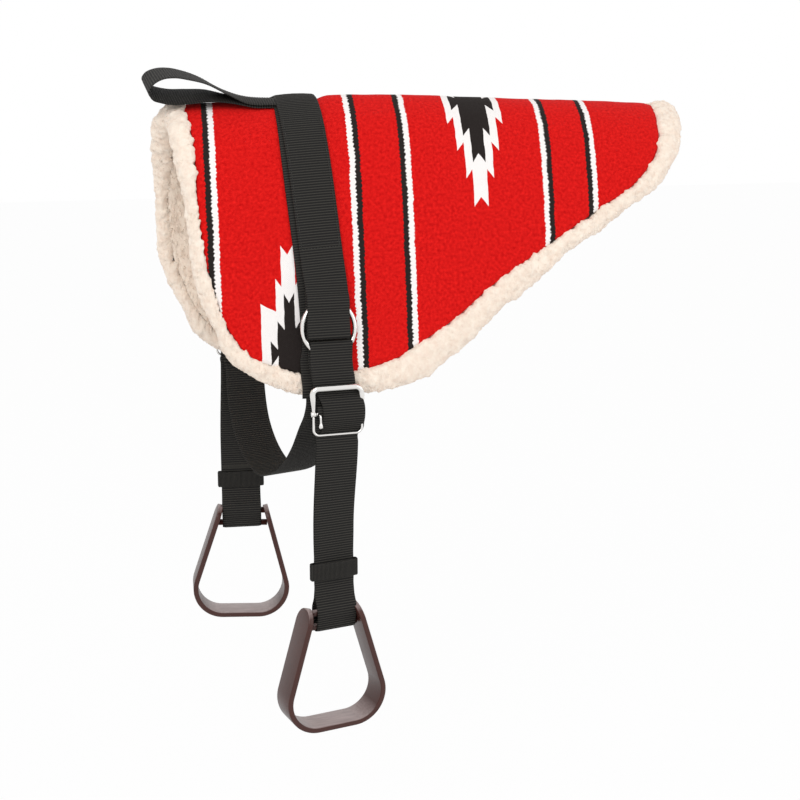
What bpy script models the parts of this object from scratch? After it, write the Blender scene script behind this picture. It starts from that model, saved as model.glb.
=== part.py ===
"""Bareback pad: woven cover over foam and fleece, webbing surcingle, girth and stirrups.

X runs along the horse's spine with the head towards -X, the near (left) side is -Y, and Z is up.
The origin is on the underside of the lining, on the spine at mid length. Metres.
"""
import math

import bmesh
import bpy
import numpy as np

# Pad outline, laid flat: along the spine, and down the flap from the ridge
pad_half_length = 0.334
flap_length = 0.374
cover_front_s_shares = (0, 0.128, 0.217, 0.393, 0.519, 0.586, 0.655, 0.770, 0.861, 0.917)
cover_front_a_shares = (-0.925, -0.898, -0.889, -0.886, -0.871, -0.859, -0.838, -0.790, -0.701, -0.560)
cover_rear_s_shares = (0, 0.147, 0.214, 0.278, 0.332, 0.382, 0.428, 0.527, 0.604, 0.687, 0.791, 0.896)
cover_rear_a_shares = (0.889, 0.877, 0.868, 0.835, 0.784, 0.719, 0.632, 0.452, 0.311, 0.162, 0.006, -0.201)
cover_bottom_a_shares = (-0.560, -0.449, -0.374, -0.284, -0.201)
cover_bottom_s_shares = (0.917, 0.926, 0.928, 0.917, 0.896)
rim_front_s_shares = (0, 0.179, 0.307, 0.428, 0.583, 0.663, 0.751, 0.821, 0.872, 0.925, 0.963, 0.987)
rim_front_a_shares = (-0.991, -0.964, -0.940, -0.924, -0.910, -0.886, -0.844, -0.820, -0.775, -0.695,
                      -0.620, -0.554)
rim_rear_s_shares = (0, 0.144, 0.235, 0.299, 0.361, 0.422, 0.489, 0.583, 0.679, 0.791, 0.858, 0.928,
                     0.973, 0.992)
rim_rear_a_shares = (1.006, 0.988, 0.958, 0.913, 0.859, 0.754, 0.653, 0.479, 0.344, 0.168, 0.081, -0.030,
                     -0.114, -0.198)
rim_bottom_a_shares = (-0.554, -0.449, -0.323, -0.254, -0.198)
rim_bottom_s_shares = (0.987, 0.997, 1.0, 0.997, 0.992)

# Form of the back under the pad
ridge_sag = 0.0095
withers_start_share = -0.2994
withers_length_share = 0.5988
withers_slope = math.radians(16)
flap_slope = math.radians(83)
flap_slope_gain = math.radians(3)
barrel_bend_length = 0.058
barrel_bend_gain = 0.014
weave_lean = 0.016
weave_lean_length = 0.080
slope_steps = 40
probe = 0.0005
mirror_merge = 0.0001
vertex_merge = 0.00001

# Layers of the pad
cover_thickness = 0.002
core_thickness = 0.010
lining_thickness = 0.012
layer_gap = 0.0003
seam_gap = 0.0009
roll_proud = 0.003
roll_seam_angle = math.radians(120)
grid_rows = 21
grid_columns = 12
row_growth = 1.2
column_power = 1.12
roll_steps = 7
bottom_steps = 5

# Webbing and the surcingle
webbing_width = 0.0508
webbing_thickness = 0.002
strap_gap = 0.0008
ply_gap = 0.0004
touch_gap = 0.0003
top_ply_centre_share = -0.5284
top_ply_lean = 0.080
under_ply_centre_share = -0.5338
under_ply_near_lean = 0.042
under_ply_far_lean = -0.063
under_ply_rise_before = 0.014
under_ply_rise_after = 0.003
under_ply_turn_after = 0.014
under_ply_lap = 0.005
girth_lap = 0.0035
near_girth_hang = 0.0130
far_girth_hang = 0.0173

# Rings, chapes and stirrup leathers
near_ring_down_length = 0.2937
far_ring_down_length = 0.2620
ring_outer_diameter = 0.068
ring_wire_diameter = 0.0055
near_ring_lift = 0.0090
far_ring_lift = 0.0108
near_ring_place_share = -0.5105
far_ring_place_share = -0.6671
chape_length = 0.045
chape_gap = 0.0006
chape_hinge_rise = 0.0013
chape_fold_drop = 0.006
leather_fold_drop = 0.0107
near_leather_stand = 0.0129
far_leather_stand = 0.0171
near_pin_below_ring = 0.0964
far_pin_below_ring = 0.0710
frame_rise = 0.0298
heel_drop = 0.0254
near_leather_lean = 0.0055
far_leather_lean = 0.0028
twist_start_share = 1.45
twist_steps = 8
twist_columns = 4
keeper_travel_up = 0.035
fold_steps = 6
route_steps = 3

# Buckles
frame_wire_diameter = 0.006
frame_side_clearance = 0.0006
frame_corner_radius = 0.007
pin_diameter = 0.004
heel_wire_diameter = 0.0029
tongue_wire_diameter = 0.0026
tongue_bulb_diameter = 0.0046
tongue_offset = -0.020
tongue_length = 0.016
tongue_slot_width = 0.0040
tongue_slot_drop = 0.0022
tongue_slot_rise = 0.0072
chape_end_rise = 0.009

# Stirrup straps and keepers, by side
near_keeper_below_pin = 0.1787
near_strap_below_pin = 0.2643
far_keeper_below_pin = 0.1832
far_strap_below_pin = 0.2597
near_twist = math.radians(7)
far_twist = math.radians(-10)
keeper_height = 0.019
keeper_wall = 0.0015
keeper_clearance = 0.0004
keeper_side_clearance = 0.0033
keeper_corner = 0.0016
keeper_corner_steps = 3
tilt_allowance = math.radians(10)
eye_taper = 0.024

# Stirrups
stirrup_height = 0.151
stirrup_depth = 0.038
stirrup_band = 0.0065
stirrup_top_half_width = 0.0325
stirrup_half_width = 0.0635
stirrup_corner_radius = 0.040
stirrup_bar_diameter = 0.008
stirrup_bar_spacing = 0.017
stirrup_bar_below_top = 0.024
stirrup_bar_seat = 0.004
stirrup_edge_round = 0.0012
stirrup_side_steps = 6
stirrup_corner_steps = 9

# Grab handle: (along, height, roll) at hand-chosen shares of its reach and height
handle_pivot_share = -0.6269
handle_pivot_lift = 0.0028
handle_reach = 0.1411
handle_rise = 0.029
handle_roll = math.radians(22)
handle_reach_shares = (0, 0.21, 0.37, 0.54, 0.675, 0.79, 0.90, 0.975, 1.0, 0.975, 0.91, 0.80, 0.65, 0.48,
                       0.31, 0.14, 0)
handle_rise_shares = (0.04, 0.10, 0.22, 0.52, 0.83, 1.0, 0.965, 0.76, 0.53, 0.31, 0.19, 0.07, 0.0, -0.045,
                      -0.058, -0.045, -0.04)
handle_roll_shares = (0, 0.18, 0.27, 0.41, 0.55, 0.60, 0.68, 0.80, 0.90, 1.0, 1.0, 0.95, 0.68, 0.45, 0.27,
                      0.09, 0)

# Girth strap: the loop it hangs in, as shares of its span and drop
girth_near_place_share = -0.5198
girth_far_place_share = -0.6482
girth_drop = 0.123
girth_span_shares = (-1, -0.995, -0.955, -0.822, -0.644, -0.467, -0.271, -0.04, 0.20, 0.42, 0.627, 0.868,
                     0.985, 1)
girth_drop_shares = (0, 0.09, 0.19, 0.36, 0.585, 0.75, 0.886, 0.98, 1.0, 0.95, 0.855, 0.615, 0.277, 0)

wire_sides_resolution = 2

# Places along the spine
top_ply_centre = top_ply_centre_share * pad_half_length
under_ply_centre = under_ply_centre_share * pad_half_length
near_ring_x = near_ring_place_share * pad_half_length
far_ring_x = far_ring_place_share * pad_half_length
handle_pivot_x = handle_pivot_share * pad_half_length
girth_near_x = girth_near_place_share * pad_half_length
girth_far_x = girth_far_place_share * pad_half_length

for old in list(bpy.data.objects):
    bpy.data.objects.remove(old, do_unlink=True)

parts = bpy.data.collections.new("bareback_pad")
bpy.context.scene.collection.children.link(parts)
cutters = bpy.data.collections.new("cutters")
bpy.context.scene.collection.children.link(cutters)


def make_material(name, colour, roughness, metallic):
    made = bpy.data.materials.new(name)
    made.use_nodes = True
    shader = made.node_tree.nodes["Principled BSDF"]
    shader.inputs["Base Color"].default_value = (*colour, 1)
    shader.inputs["Roughness"].default_value = roughness
    shader.inputs["Metallic"].default_value = metallic
    return made


red_weave = (0.76, 0.015, 0.014)
cream_fleece = (0.88, 0.76, 0.64)
black_webbing = (0.027, 0.026, 0.024)
bright_nickel = (0.78, 0.77, 0.75)
grey_foam = (0.42, 0.42, 0.43)
brown_plastic = (0.070, 0.034, 0.030)
fabric_look = {"roughness": 0.9, "metallic": 0}
metal_look = {"roughness": 0.18, "metallic": 1}
plastic_look = {"roughness": 0.35, "metallic": 0}


def finish_object(obj, colour, look):
    """Give the object its own material and put it in the parts collection."""
    obj.data.materials.clear()
    obj.data.materials.append(make_material(obj.name + "_finish", colour, **look))
    for collection in list(obj.users_collection):
        collection.objects.unlink(obj)
    parts.objects.link(obj)
    return obj


def grid_object(name, rows):
    """A mesh of quads from rows of points, in the order given."""
    mesh = bpy.data.meshes.new(name)
    bm = bmesh.new()
    made = [[bm.verts.new(point) for point in row] for row in rows]
    for upper, lower in zip(made, made[1:]):
        for i in range(len(upper) - 1):
            bm.faces.new((upper[i], lower[i], lower[i + 1], upper[i + 1]))
    bm.to_mesh(mesh)
    bm.free()
    return bpy.data.objects.new(name, mesh)


def add_solidify(obj, thickness, offset):
    modifier = obj.modifiers.new("thickness", "SOLIDIFY")
    modifier.thickness = thickness
    modifier.offset = offset
    modifier.use_even_offset = True


def add_mirror(obj, axis):
    modifier = obj.modifiers.new("other_half", "MIRROR")
    modifier.use_axis = [i == axis for i in range(3)]
    modifier.merge_threshold = mirror_merge


def add_bevel(obj, width, segments):
    modifier = obj.modifiers.new("edges", "BEVEL")
    modifier.width = width
    modifier.segments = segments
    modifier.limit_method = "ANGLE"


def flatten_modifiers(obj):
    """Turn the object into a plain mesh of what its modifiers show."""
    parts.objects.link(obj)
    bpy.context.view_layer.update()
    depsgraph = bpy.context.evaluated_depsgraph_get()
    mesh = bpy.data.meshes.new_from_object(obj.evaluated_get(depsgraph))
    obj.modifiers.clear()
    obj.data = mesh


def smooth_value(x, xs, ys):
    """Value at x of a smooth curve through the points (xs, ys)."""
    i = int(np.clip(np.searchsorted(xs, x) - 1, 0, len(xs) - 2))
    slopes = np.gradient(ys, xs)
    step = xs[i + 1] - xs[i]
    t = (x - xs[i]) / step
    return ((2 * t**3 - 3 * t**2 + 1) * ys[i] + (t**3 - 2 * t**2 + t) * step * slopes[i]
            + (3 * t**2 - 2 * t**3) * ys[i + 1] + (t**3 - t**2) * step * slopes[i + 1])


def smooth_route(points, steps=route_steps):
    """A smooth curve through the points, with a number of steps between each two."""
    points = np.array(points, dtype=float)
    ends = [2 * points[0] - points[1]], [2 * points[-1] - points[-2]]
    padded = np.concatenate([ends[0], points, ends[1]])
    route = []
    for p0, p1, p2, p3 in zip(padded, padded[1:], padded[2:], padded[3:]):
        for k in range(steps):
            t = k / steps
            route.append(0.5 * (2 * p1 + (p2 - p0) * t + (2 * p0 - 5 * p1 + 4 * p2 - p3) * t**2
                                + (3 * p1 - p0 - 3 * p2 + p3) * t**3))
    route.append(points[-1])
    return route


# The pad's surface

pad_thickness = cover_thickness + core_thickness + lining_thickness


def withers_share(a):
    t = min(max((withers_start_share - a / pad_half_length) / withers_length_share, 0), 1)
    return t * t * (3 - 2 * t)


def ridge_height(a):
    return pad_thickness - ridge_sag * (a / pad_half_length)**2


def surface_point(a, s):
    """Point of the cover's outer face: a along the spine, s down the flap, positive on the near side."""
    front = withers_share(a)
    start = withers_slope * front
    end = flap_slope + flap_slope_gain * front
    arc = barrel_bend_length + barrel_bend_gain * front
    run = abs(s)
    along = (np.arange(slope_steps) + 0.5) / slope_steps * run
    slope = start + (end - start) * (1 - np.exp(-along / arc))
    out = np.cos(slope).sum() * run / slope_steps
    down = np.sin(slope).sum() * run / slope_steps
    lean = weave_lean * (1 - math.exp(-run / weave_lean_length))
    return np.array([a - lean, -math.copysign(out, s), ridge_height(a) - down])


def lifted_point(a, s, lift):
    """The same point, lifted square to the surface; on the ridge it stays in the middle plane."""
    along = surface_point(a + probe, s) - surface_point(a - probe, s)
    down = surface_point(a, s + probe) - surface_point(a, s - probe)
    normal = np.cross(down, along)
    normal /= np.linalg.norm(normal)
    if s == 0:
        lift = lift / math.cos(withers_slope * withers_share(a))
    return surface_point(a, s) + lift * normal


class Outline:
    """An edge of the flap: front, bottom and rear, each smooth through hand-chosen shares."""

    def __init__(self, front, bottom, rear):
        self.front = [np.array(shares) for shares in front]
        self.bottom = [np.array(shares) for shares in bottom]
        self.rear = [np.array(shares) for shares in rear]

    def front_point(self, v):
        s = v * self.front[0][-1]
        return np.array([smooth_value(s, *self.front) * pad_half_length, s * flap_length])

    def rear_point(self, v):
        s = v * self.rear[0][-1]
        return np.array([smooth_value(s, *self.rear) * pad_half_length, s * flap_length])

    def bottom_point(self, u):
        a = self.bottom[0][0] + u * (self.bottom[0][-1] - self.bottom[0][0])
        return np.array([a * pad_half_length, smooth_value(a, *self.bottom) * flap_length])


cover_outline = Outline((cover_front_s_shares, cover_front_a_shares),
                        (cover_bottom_a_shares, cover_bottom_s_shares),
                        (cover_rear_s_shares, cover_rear_a_shares))
rim_outline = Outline((rim_front_s_shares, rim_front_a_shares),
                      (rim_bottom_a_shares, rim_bottom_s_shares),
                      (rim_rear_s_shares, rim_rear_a_shares))


def pulled_in(inner, outer, gap):
    """The inner point drawn back from the outer one by a gap."""
    away = inner - outer
    return inner + away / np.linalg.norm(away) * gap


def row_share(j):
    return (math.exp(row_growth * j / grid_rows) - 1) / (math.exp(row_growth) - 1)


def column_share(i):
    return (i / grid_columns)**column_power


def flap_grid():
    """Points (a, s) of the half pad inside its seam, row by row from the ridge down."""
    front = [pulled_in(cover_outline.front_point(row_share(j)), rim_outline.front_point(row_share(j)),
                       seam_gap) for j in range(grid_rows + 1)]
    rear = [pulled_in(cover_outline.rear_point(row_share(j)), rim_outline.rear_point(row_share(j)),
                      seam_gap) for j in range(grid_rows + 1)]
    bottom = [pulled_in(cover_outline.bottom_point(column_share(i)),
                        rim_outline.bottom_point(column_share(i)), seam_gap) for i in range(grid_columns + 1)]
    front[0][1] = rear[0][1] = 0
    bottom[0] = front[-1]
    bottom[-1] = rear[-1]
    rows = []
    for j in range(grid_rows + 1):
        v = row_share(j)
        row = []
        for i in range(grid_columns + 1):
            u = column_share(i)
            sides = (1 - u) * front[j] + u * rear[j]
            top = (1 - u) * front[0] + u * rear[0]
            corners = (1 - v) * top + v * ((1 - u) * front[-1] + u * rear[-1])
            row.append(sides + (1 - v) * top + v * bottom[i] - corners)
        rows.append(row)
    return rows


def pad_layer(name, depth, thickness, colour):
    """One layer of the pad, whose outer face lies a depth below the cover's outer face."""
    rows = [[lifted_point(a, s, -depth) for a, s in row] for row in flap_grid()]
    layer = grid_object(name, rows)
    add_mirror(layer, 1)
    add_solidify(layer, thickness, -1)
    return finish_object(layer, colour, fabric_look)


def rim_pairs():
    """Matching points of the cover's edge and of the fleece's outer edge, ridge to ridge."""
    shares = [row_share(j) for j in range(grid_rows + 1)]
    pairs = [(cover_outline.front_point(v), rim_outline.front_point(v)) for v in shares]
    for i in range(1, bottom_steps):
        u = i / bottom_steps
        pairs.append((cover_outline.bottom_point(u), rim_outline.bottom_point(u)))
    pairs += [(cover_outline.rear_point(v), rim_outline.rear_point(v)) for v in reversed(shares)]
    return pairs


def edge_roll(name):
    """The fleece rolled round the rim: a D-shaped section swept along the edge of the half pad."""
    half_thickness = (pad_thickness + roll_proud) / 2
    middle = roll_proud - half_thickness
    back = -math.cos(roll_seam_angle)
    rows = []
    for inner, outer in rim_pairs():
        section = []
        for k in range(roll_steps + 1):
            angle = roll_seam_angle - (roll_seam_angle + math.pi / 2) * k / roll_steps
            across = max((math.cos(angle) + back) / (1 + back), 0)
            a, s = inner + (outer - inner) * across
            section.append(lifted_point(a, s, middle + half_thickness * math.sin(angle)))
        section.append(lifted_point(*inner, -pad_thickness))
        section.append(section[0])
        rows.append(section)
    roll = grid_object(name, rows)
    bm = bmesh.new()
    bm.from_mesh(roll.data)
    bmesh.ops.remove_doubles(bm, verts=bm.verts, dist=vertex_merge)
    bmesh.ops.recalc_face_normals(bm, faces=bm.faces)
    bm.to_mesh(roll.data)
    bm.free()
    add_mirror(roll, 1)
    flatten_modifiers(roll)
    bm = bmesh.new()
    bm.from_mesh(roll.data)
    bmesh.ops.remove_doubles(bm, verts=bm.verts, dist=vertex_merge)
    bmesh.ops.recalc_face_normals(bm, faces=bm.faces)
    bm.to_mesh(roll.data)
    bm.free()
    return finish_object(roll, cream_fleece, fabric_look)


# Straps

half_ply = webbing_thickness / 2
across_x = np.array([1.0, 0.0, 0.0])


def strap(name, route, across=across_x, columns=1):
    """A flat strap along a route of centre points; across is one direction or one for each point."""
    directions = [across] * len(route) if np.ndim(across) == 1 else across
    shares = [i / columns - 0.5 for i in range(columns + 1)]
    rows = [[point + side * webbing_width * share for share in shares]
            for point, side in zip(route, directions)]
    made = grid_object(name, rows)
    add_solidify(made, webbing_thickness, 0)
    return made


def fold(centre, radius, start, turn):
    """Points of a fold in a (depth, height) plane: a half circle about the centre."""
    points = []
    for k in range(fold_steps + 1):
        angle = start + turn * k / fold_steps
        points.append((centre[0] + radius * math.cos(angle), centre[1] + radius * math.sin(angle)))
    return points


def smooth_step(x, start, end):
    t = min(max((x - start) / (end - start), 0), 1)
    return t * t * (3 - 2 * t)


under_lift = strap_gap + half_ply
crown_lift = roll_proud + ply_gap + half_ply
top_lift = under_lift + webbing_thickness + ply_gap


def row_stations(limit):
    """The pad's own rows, as places down the flap, up to a limit."""
    drop = cover_front_s_shares[-1] * flap_length
    places = [row_share(j) * drop for j in range(grid_rows + 1)]
    return [s for s in places if s < limit - webbing_thickness] + [limit]


def cover_edge_arc(a):
    """How far down the flap the cover ends, at a place along its front and bottom edges."""
    along = cover_front_a_shares[-4:-1] + cover_bottom_a_shares
    down = cover_front_s_shares[-4:-1] + cover_bottom_s_shares
    return float(np.interp(a / pad_half_length, along, down)) * flap_length


def under_centre(s):
    return under_ply_centre + (under_ply_near_lean if s > 0 else -under_ply_far_lean) * s


def under_ply_edge_row(side_sign, offset, lift):
    """Three points across the under ply, at an offset down from the cover's edge."""
    row = []
    for share in (1, 0, -1):
        a = under_centre(side_sign * flap_length) + share * webbing_width / 2
        row.append(lifted_point(a, side_sign * (cover_edge_arc(a) + offset), lift))
    return row


def under_ply_turn_row(side_sign):
    """The row where the under ply leaves the edge roll and hangs plumb, level across its width."""
    row = under_ply_edge_row(side_sign, under_ply_turn_after, crown_lift)
    out = max((point[1] for point in row), key=abs)
    return [np.array([point[0], out, point[2]]) for point in row]


def girth_drop_of(side_sign):
    """How far below the ridge's level the girth's hinge line lies on one side."""
    hang = near_girth_hang if side_sign > 0 else far_girth_hang
    return hang - under_ply_turn_row(side_sign)[0][2]


def surcingle_under_ply():
    """The lower ply: over the pad, over the edge roll, and plumb down to the girth's lap."""
    edges = [cover_edge_arc(under_centre(sign * flap_length) - webbing_width / 2) for sign in (1, -1)]
    rows = []
    steps = 4
    for sign, edge in ((-1, edges[1]), (1, edges[0])):
        half = []
        for s in row_stations(edge - 2 * under_ply_rise_before):
            a = under_centre(sign * s)
            half.append([lifted_point(a + share * webbing_width / 2, sign * s, under_lift)
                         for share in (1, 0, -1)])
        for k in range(steps + 1):
            offset = -under_ply_rise_before + (under_ply_rise_before + under_ply_rise_after) * k / steps
            lift = under_lift + (crown_lift - under_lift) * smooth_step(k / steps, 0, 1)
            half.append(under_ply_edge_row(sign, offset, lift))
        half.append(under_ply_turn_row(sign))
        low = -girth_drop_of(sign) - under_ply_lap
        half.append([np.array([point[0], point[1], low]) for point in half[-1]])
        rows += half[:0:-1] if sign < 0 else half
    ply = grid_object("surcingle_under_ply", rows)
    add_solidify(ply, webbing_thickness, 0)
    return finish_object(ply, black_webbing, fabric_look)


def level_row(s, height):
    """Three points across the top ply, each as far down the flap as brings it to one height."""
    row = []
    for share in (1, 0, -1):
        a = top_ply_centre + top_ply_lean * s + share * webbing_width / 2
        extra = lifted_point(a, s, top_lift)[2] - height
        row.append(lifted_point(a, s + extra * math.copysign(1, s), top_lift))
    return row


def surcingle_top_ply(near_end, far_end):
    """The upper ply, from one chape's hinge line over the ridge to the other's."""
    near = row_stations(near_ring_down_length - chape_length)[:-1]
    far = row_stations(far_ring_down_length - chape_length)[:-1]
    rows = [level_row(chape_length - far_ring_down_length, far_end + chape_gap)]
    for s in [-s for s in reversed(far[1:])] + near:
        a = top_ply_centre + top_ply_lean * s
        rows.append([lifted_point(a + share * webbing_width / 2, s, top_lift) for share in (1, 0, -1)])
    rows.append(level_row(near_ring_down_length - chape_length, near_end + chape_gap))
    ply = grid_object("surcingle_top_ply", rows)
    add_solidify(ply, webbing_thickness, 0)
    return finish_object(ply, black_webbing, fabric_look)


def grab_handle():
    """One strap looped forward from the surcingle, rolled towards the near side as it goes."""
    base = ridge_height(handle_pivot_x) + handle_pivot_lift
    points = []
    for reach, rise, roll in zip(handle_reach_shares, handle_rise_shares, handle_roll_shares):
        points.append((handle_pivot_x - reach * handle_reach, 0, base + rise * handle_rise,
                       roll * handle_roll))
    route = smooth_route(points, 2)
    sides = [np.array([0, math.cos(p[3]), math.sin(p[3])]) for p in route]
    handle = strap("grab_handle", [p[:3] for p in route], sides)
    return finish_object(handle, black_webbing, fabric_look)


def girth_strap():
    """The strap that hangs below the pad from one end of the under ply to the other."""
    points = []
    inwards = webbing_thickness + ply_gap
    ends = [(abs(under_ply_turn_row(sign)[0][1]), girth_drop_of(sign)) for sign in (1, -1)]
    for span, drop in zip(girth_span_shares, girth_drop_shares):
        x = girth_near_x + (girth_far_x - girth_near_x) * (span + 1) / 2
        half_span, top_drop = ends[0] if span < 0 else ends[1]
        points.append((x, span * (half_span - inwards), girth_lap - top_drop - drop * girth_drop))
    girth = strap("girth_strap", smooth_route(points))
    return finish_object(girth, black_webbing, fabric_look)


# Rings, leathers, buckles and stirrups of one side

class Side:
    """Names, places and directions of one side of the pad."""

    def __init__(self, name, sign, ring_place, leather_place, strap_place, twist):
        self.name = name
        self.sign = sign
        self.twist = twist
        self.x, ring_down, self.ring_lift = ring_place
        surface = surface_point(self.x + weave_lean, ring_down)
        self.tilt = math.pi / 2 - flap_slope
        self.ring_out = -surface[1] + self.ring_lift * math.cos(self.tilt)
        self.ring_z = surface[2] + self.ring_lift * math.sin(self.tilt)
        leather_stand, pin_below_ring, self.lean = leather_place
        self.outset = self.ring_out + leather_stand
        self.pin_z = self.ring_z - pin_below_ring
        keeper_below_pin, strap_below_pin = strap_place
        self.keeper_top = self.pin_z - keeper_below_pin
        self.cut = self.keeper_top + keeper_travel_up
        strap_bottom = self.pin_z - strap_below_pin
        self.bar_z = strap_bottom + stirrup_bar_diameter / 2 + touch_gap + webbing_thickness
        self.hinge_z = self.on_flap(-chape_length, top_lift - self.ring_lift)[1]

    def at(self, out, z):
        """A place on the side's line, which leans back towards the buckle and comes true again below."""
        rise = smooth_step(self.ring_z - z, ring_radius, self.ring_z - self.pin_z)
        fall = smooth_step(self.pin_z - z, heel_drop, self.pin_z - self.cut)
        return np.array([self.x + self.lean * rise * (1 - fall), self.sign * out, z])

    def on_flap(self, down, out):
        """A place given down the flap and out from it, counted from the ring's centre."""
        cos, sin = math.cos(self.tilt), math.sin(self.tilt)
        return (self.ring_out + down * sin + out * cos, self.ring_z - down * cos + out * sin)


def named(side, name):
    return side.name + "_" + name


ring_radius = (ring_outer_diameter - ring_wire_diameter) / 2
ring_ply_offset = ring_wire_diameter / 2 + touch_gap + half_ply
pin_radius = pin_diameter / 2
wrap_radius = pin_radius + touch_gap + half_ply
ply_step = webbing_thickness + touch_gap
# Depths of the stacked pieces, out from the leather's middle plane
depth_back = -ply_step * 1.5 + touch_gap / 2
depth_front = depth_back + ply_step
depth_billet = depth_front + ply_step
depth_pin = depth_front + wrap_radius
depth_frame = depth_billet + half_ply + touch_gap + frame_wire_diameter / 2
depth_heel = depth_front + half_ply + touch_gap + heel_wire_diameter / 2
depth_bulge = depth_pin + pin_radius + touch_gap + ply_step + half_ply
strap_middle = (depth_back + depth_front) / 2


def ring_chape(side):
    """The end of the top ply folded round the ring's upper arc and sewn at the hinge line."""
    hinge = -chape_length
    low = chape_fold_drop - ring_ply_offset - half_ply
    back_at_hinge = top_lift + chape_hinge_rise - side.ring_lift
    wire = ring_radius + ring_wire_diameter / 2
    front = [(back_at_hinge + ply_step, hinge), (0, hinge + (chape_length - wire) * 0.42),
             (ring_ply_offset * 0.8, -wire - half_ply), (ring_ply_offset, -ring_radius),
             (ring_ply_offset, -ring_radius / 2)]
    turn = fold((0, low), ring_ply_offset, 0, math.pi)
    back = [(-ring_ply_offset, -ring_radius / 2), (-ring_ply_offset, -ring_radius),
            (back_at_hinge, hinge)]
    route = [side.at(*side.on_flap(down, out)) for out, down in front + turn + back]
    chape = strap(named(side, "ring_chape"), route)
    return finish_object(chape, black_webbing, fabric_look)


def ring(side):
    bpy.ops.mesh.primitive_torus_add(major_radius=ring_radius, minor_radius=ring_wire_diameter / 2,
                                     major_segments=32, minor_segments=8)
    made = bpy.context.object
    made.name = named(side, "ring")
    made.location = side.at(*side.on_flap(0, 0))
    made.rotation_euler = (side.sign * (side.tilt - math.pi / 2), 0, 0)
    return finish_object(made, bright_nickel, metal_look)


def twisting_stretch(side, depth):
    """Points and directions of one ply below the buckle, turning little by little to the cut."""
    top = side.pin_z - heel_drop * twist_start_share
    points = []
    directions = []
    for k in range(twist_steps + 1):
        z = top + (side.cut - top) * k / twist_steps
        share = smooth_step(k / twist_steps, 0, 1)
        points.append(turned(side, side.at(side.outset + depth, z), share))
        directions.append(twist_direction(side, share))
    return points, directions


def leather(side):
    """The strap from the buckle pin up round the ring's lower arc and down behind to the cut."""
    pin = side.pin_z
    wrap_out = side.outset + depth_pin
    end = [(wrap_out + wrap_radius, pin + chape_end_rise), (wrap_out + wrap_radius, pin + chape_end_rise / 2)]
    turn = fold((wrap_out, pin), wrap_radius, 0, -math.pi)
    top = leather_fold_drop + ring_ply_offset + half_ply
    below_ring = ring_radius + ring_wire_diameter
    front = [(side.outset + depth_front, pin + frame_rise * 0.5),
             (side.outset + depth_front, pin + frame_rise * 1.2),
             side.on_flap(below_ring, ring_ply_offset), side.on_flap(ring_radius * 0.8, ring_ply_offset)]
    bend = fold((0, top), ring_ply_offset, 0, -math.pi)
    over = [side.on_flap(down, out) for out, down in bend]
    back = [side.on_flap(ring_radius * 0.8, -ring_ply_offset), side.on_flap(below_ring, -ring_ply_offset),
            (side.outset + depth_back, pin + frame_rise * 1.2), (side.outset + depth_back, pin)]
    straight = [side.at(*point) for point in end + turn + front + over + back]
    twisted, directions = twisting_stretch(side, depth_back)
    directions = [across_x] * len(straight) + directions
    made = strap(named(side, "leather"), straight + twisted, directions, twist_columns)
    cut_tongue_slot(side, made)
    return finish_object(made, black_webbing, fabric_look)


def billet(side):
    """The strap's free end: up behind the heel bar, over the pin's fold and behind the top bar."""
    pin = side.pin_z
    low = side.outset + depth_front
    bulge = side.outset + depth_bulge
    points = [(low, pin - heel_drop * 1.25), (low, pin - heel_drop * 1.06),
              (low, pin - heel_drop * 0.93), (low + ply_gap, pin - heel_drop * 0.84),
              ((low + bulge) / 2, pin - heel_drop * 0.53), (bulge - half_ply, pin - heel_drop * 0.26),
              (bulge, pin), (bulge, pin + chape_end_rise),
              (side.outset + depth_billet + half_ply, pin + frame_rise * 0.72),
              (side.outset + depth_billet, pin + frame_rise + frame_wire_diameter / 2)]
    upper = smooth_route([side.at(*point) for point in points])
    twisted, directions = twisting_stretch(side, depth_front)
    directions = directions[::-1] + [across_x] * len(upper)
    made = strap(named(side, "billet"), twisted[::-1] + upper, directions, twist_columns)
    cut_tongue_slot(side, made)
    return finish_object(made, black_webbing, fabric_look)


def cut_tongue_slot(side, made):
    """The slot that the buckle's tongue swings in, through the fold at the pin and the billet."""
    bpy.ops.mesh.primitive_cube_add(size=1)
    cutter = bpy.context.object
    cutter.name = made.name + "_slot"
    height = tongue_slot_drop + tongue_slot_rise
    depth = depth_bulge - depth_pin + ply_step
    cutter.dimensions = (tongue_slot_width, depth, height)
    middle = (tongue_slot_rise - tongue_slot_drop) / 2 + side.pin_z
    cutter.location = side.at(side.outset + depth_pin + depth / 2, middle)
    cutter.location.x += tongue_offset
    cutter.hide_render = True
    cutter.display_type = "WIRE"
    for collection in list(cutter.users_collection):
        collection.objects.unlink(cutter)
    cutters.objects.link(cutter)
    modifier = made.modifiers.new("tongue_slot", "BOOLEAN")
    modifier.operation = "DIFFERENCE"
    modifier.object = cutter


def wire(name, points, diameter, colour=bright_nickel, look=metal_look):
    """A round wire through the points, with closed ends."""
    curve = bpy.data.curves.new(name, "CURVE")
    curve.dimensions = "3D"
    curve.bevel_depth = diameter / 2
    curve.bevel_resolution = wire_sides_resolution
    curve.use_fill_caps = True
    spline = curve.splines.new("POLY")
    spline.points.add(len(points) - 1)
    for target, point in zip(spline.points, points):
        target.co = (*point, 1)
    return finish_object(bpy.data.objects.new(name, curve), colour, look)


frame_half = webbing_width / 2 + frame_side_clearance + frame_wire_diameter / 2


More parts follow.
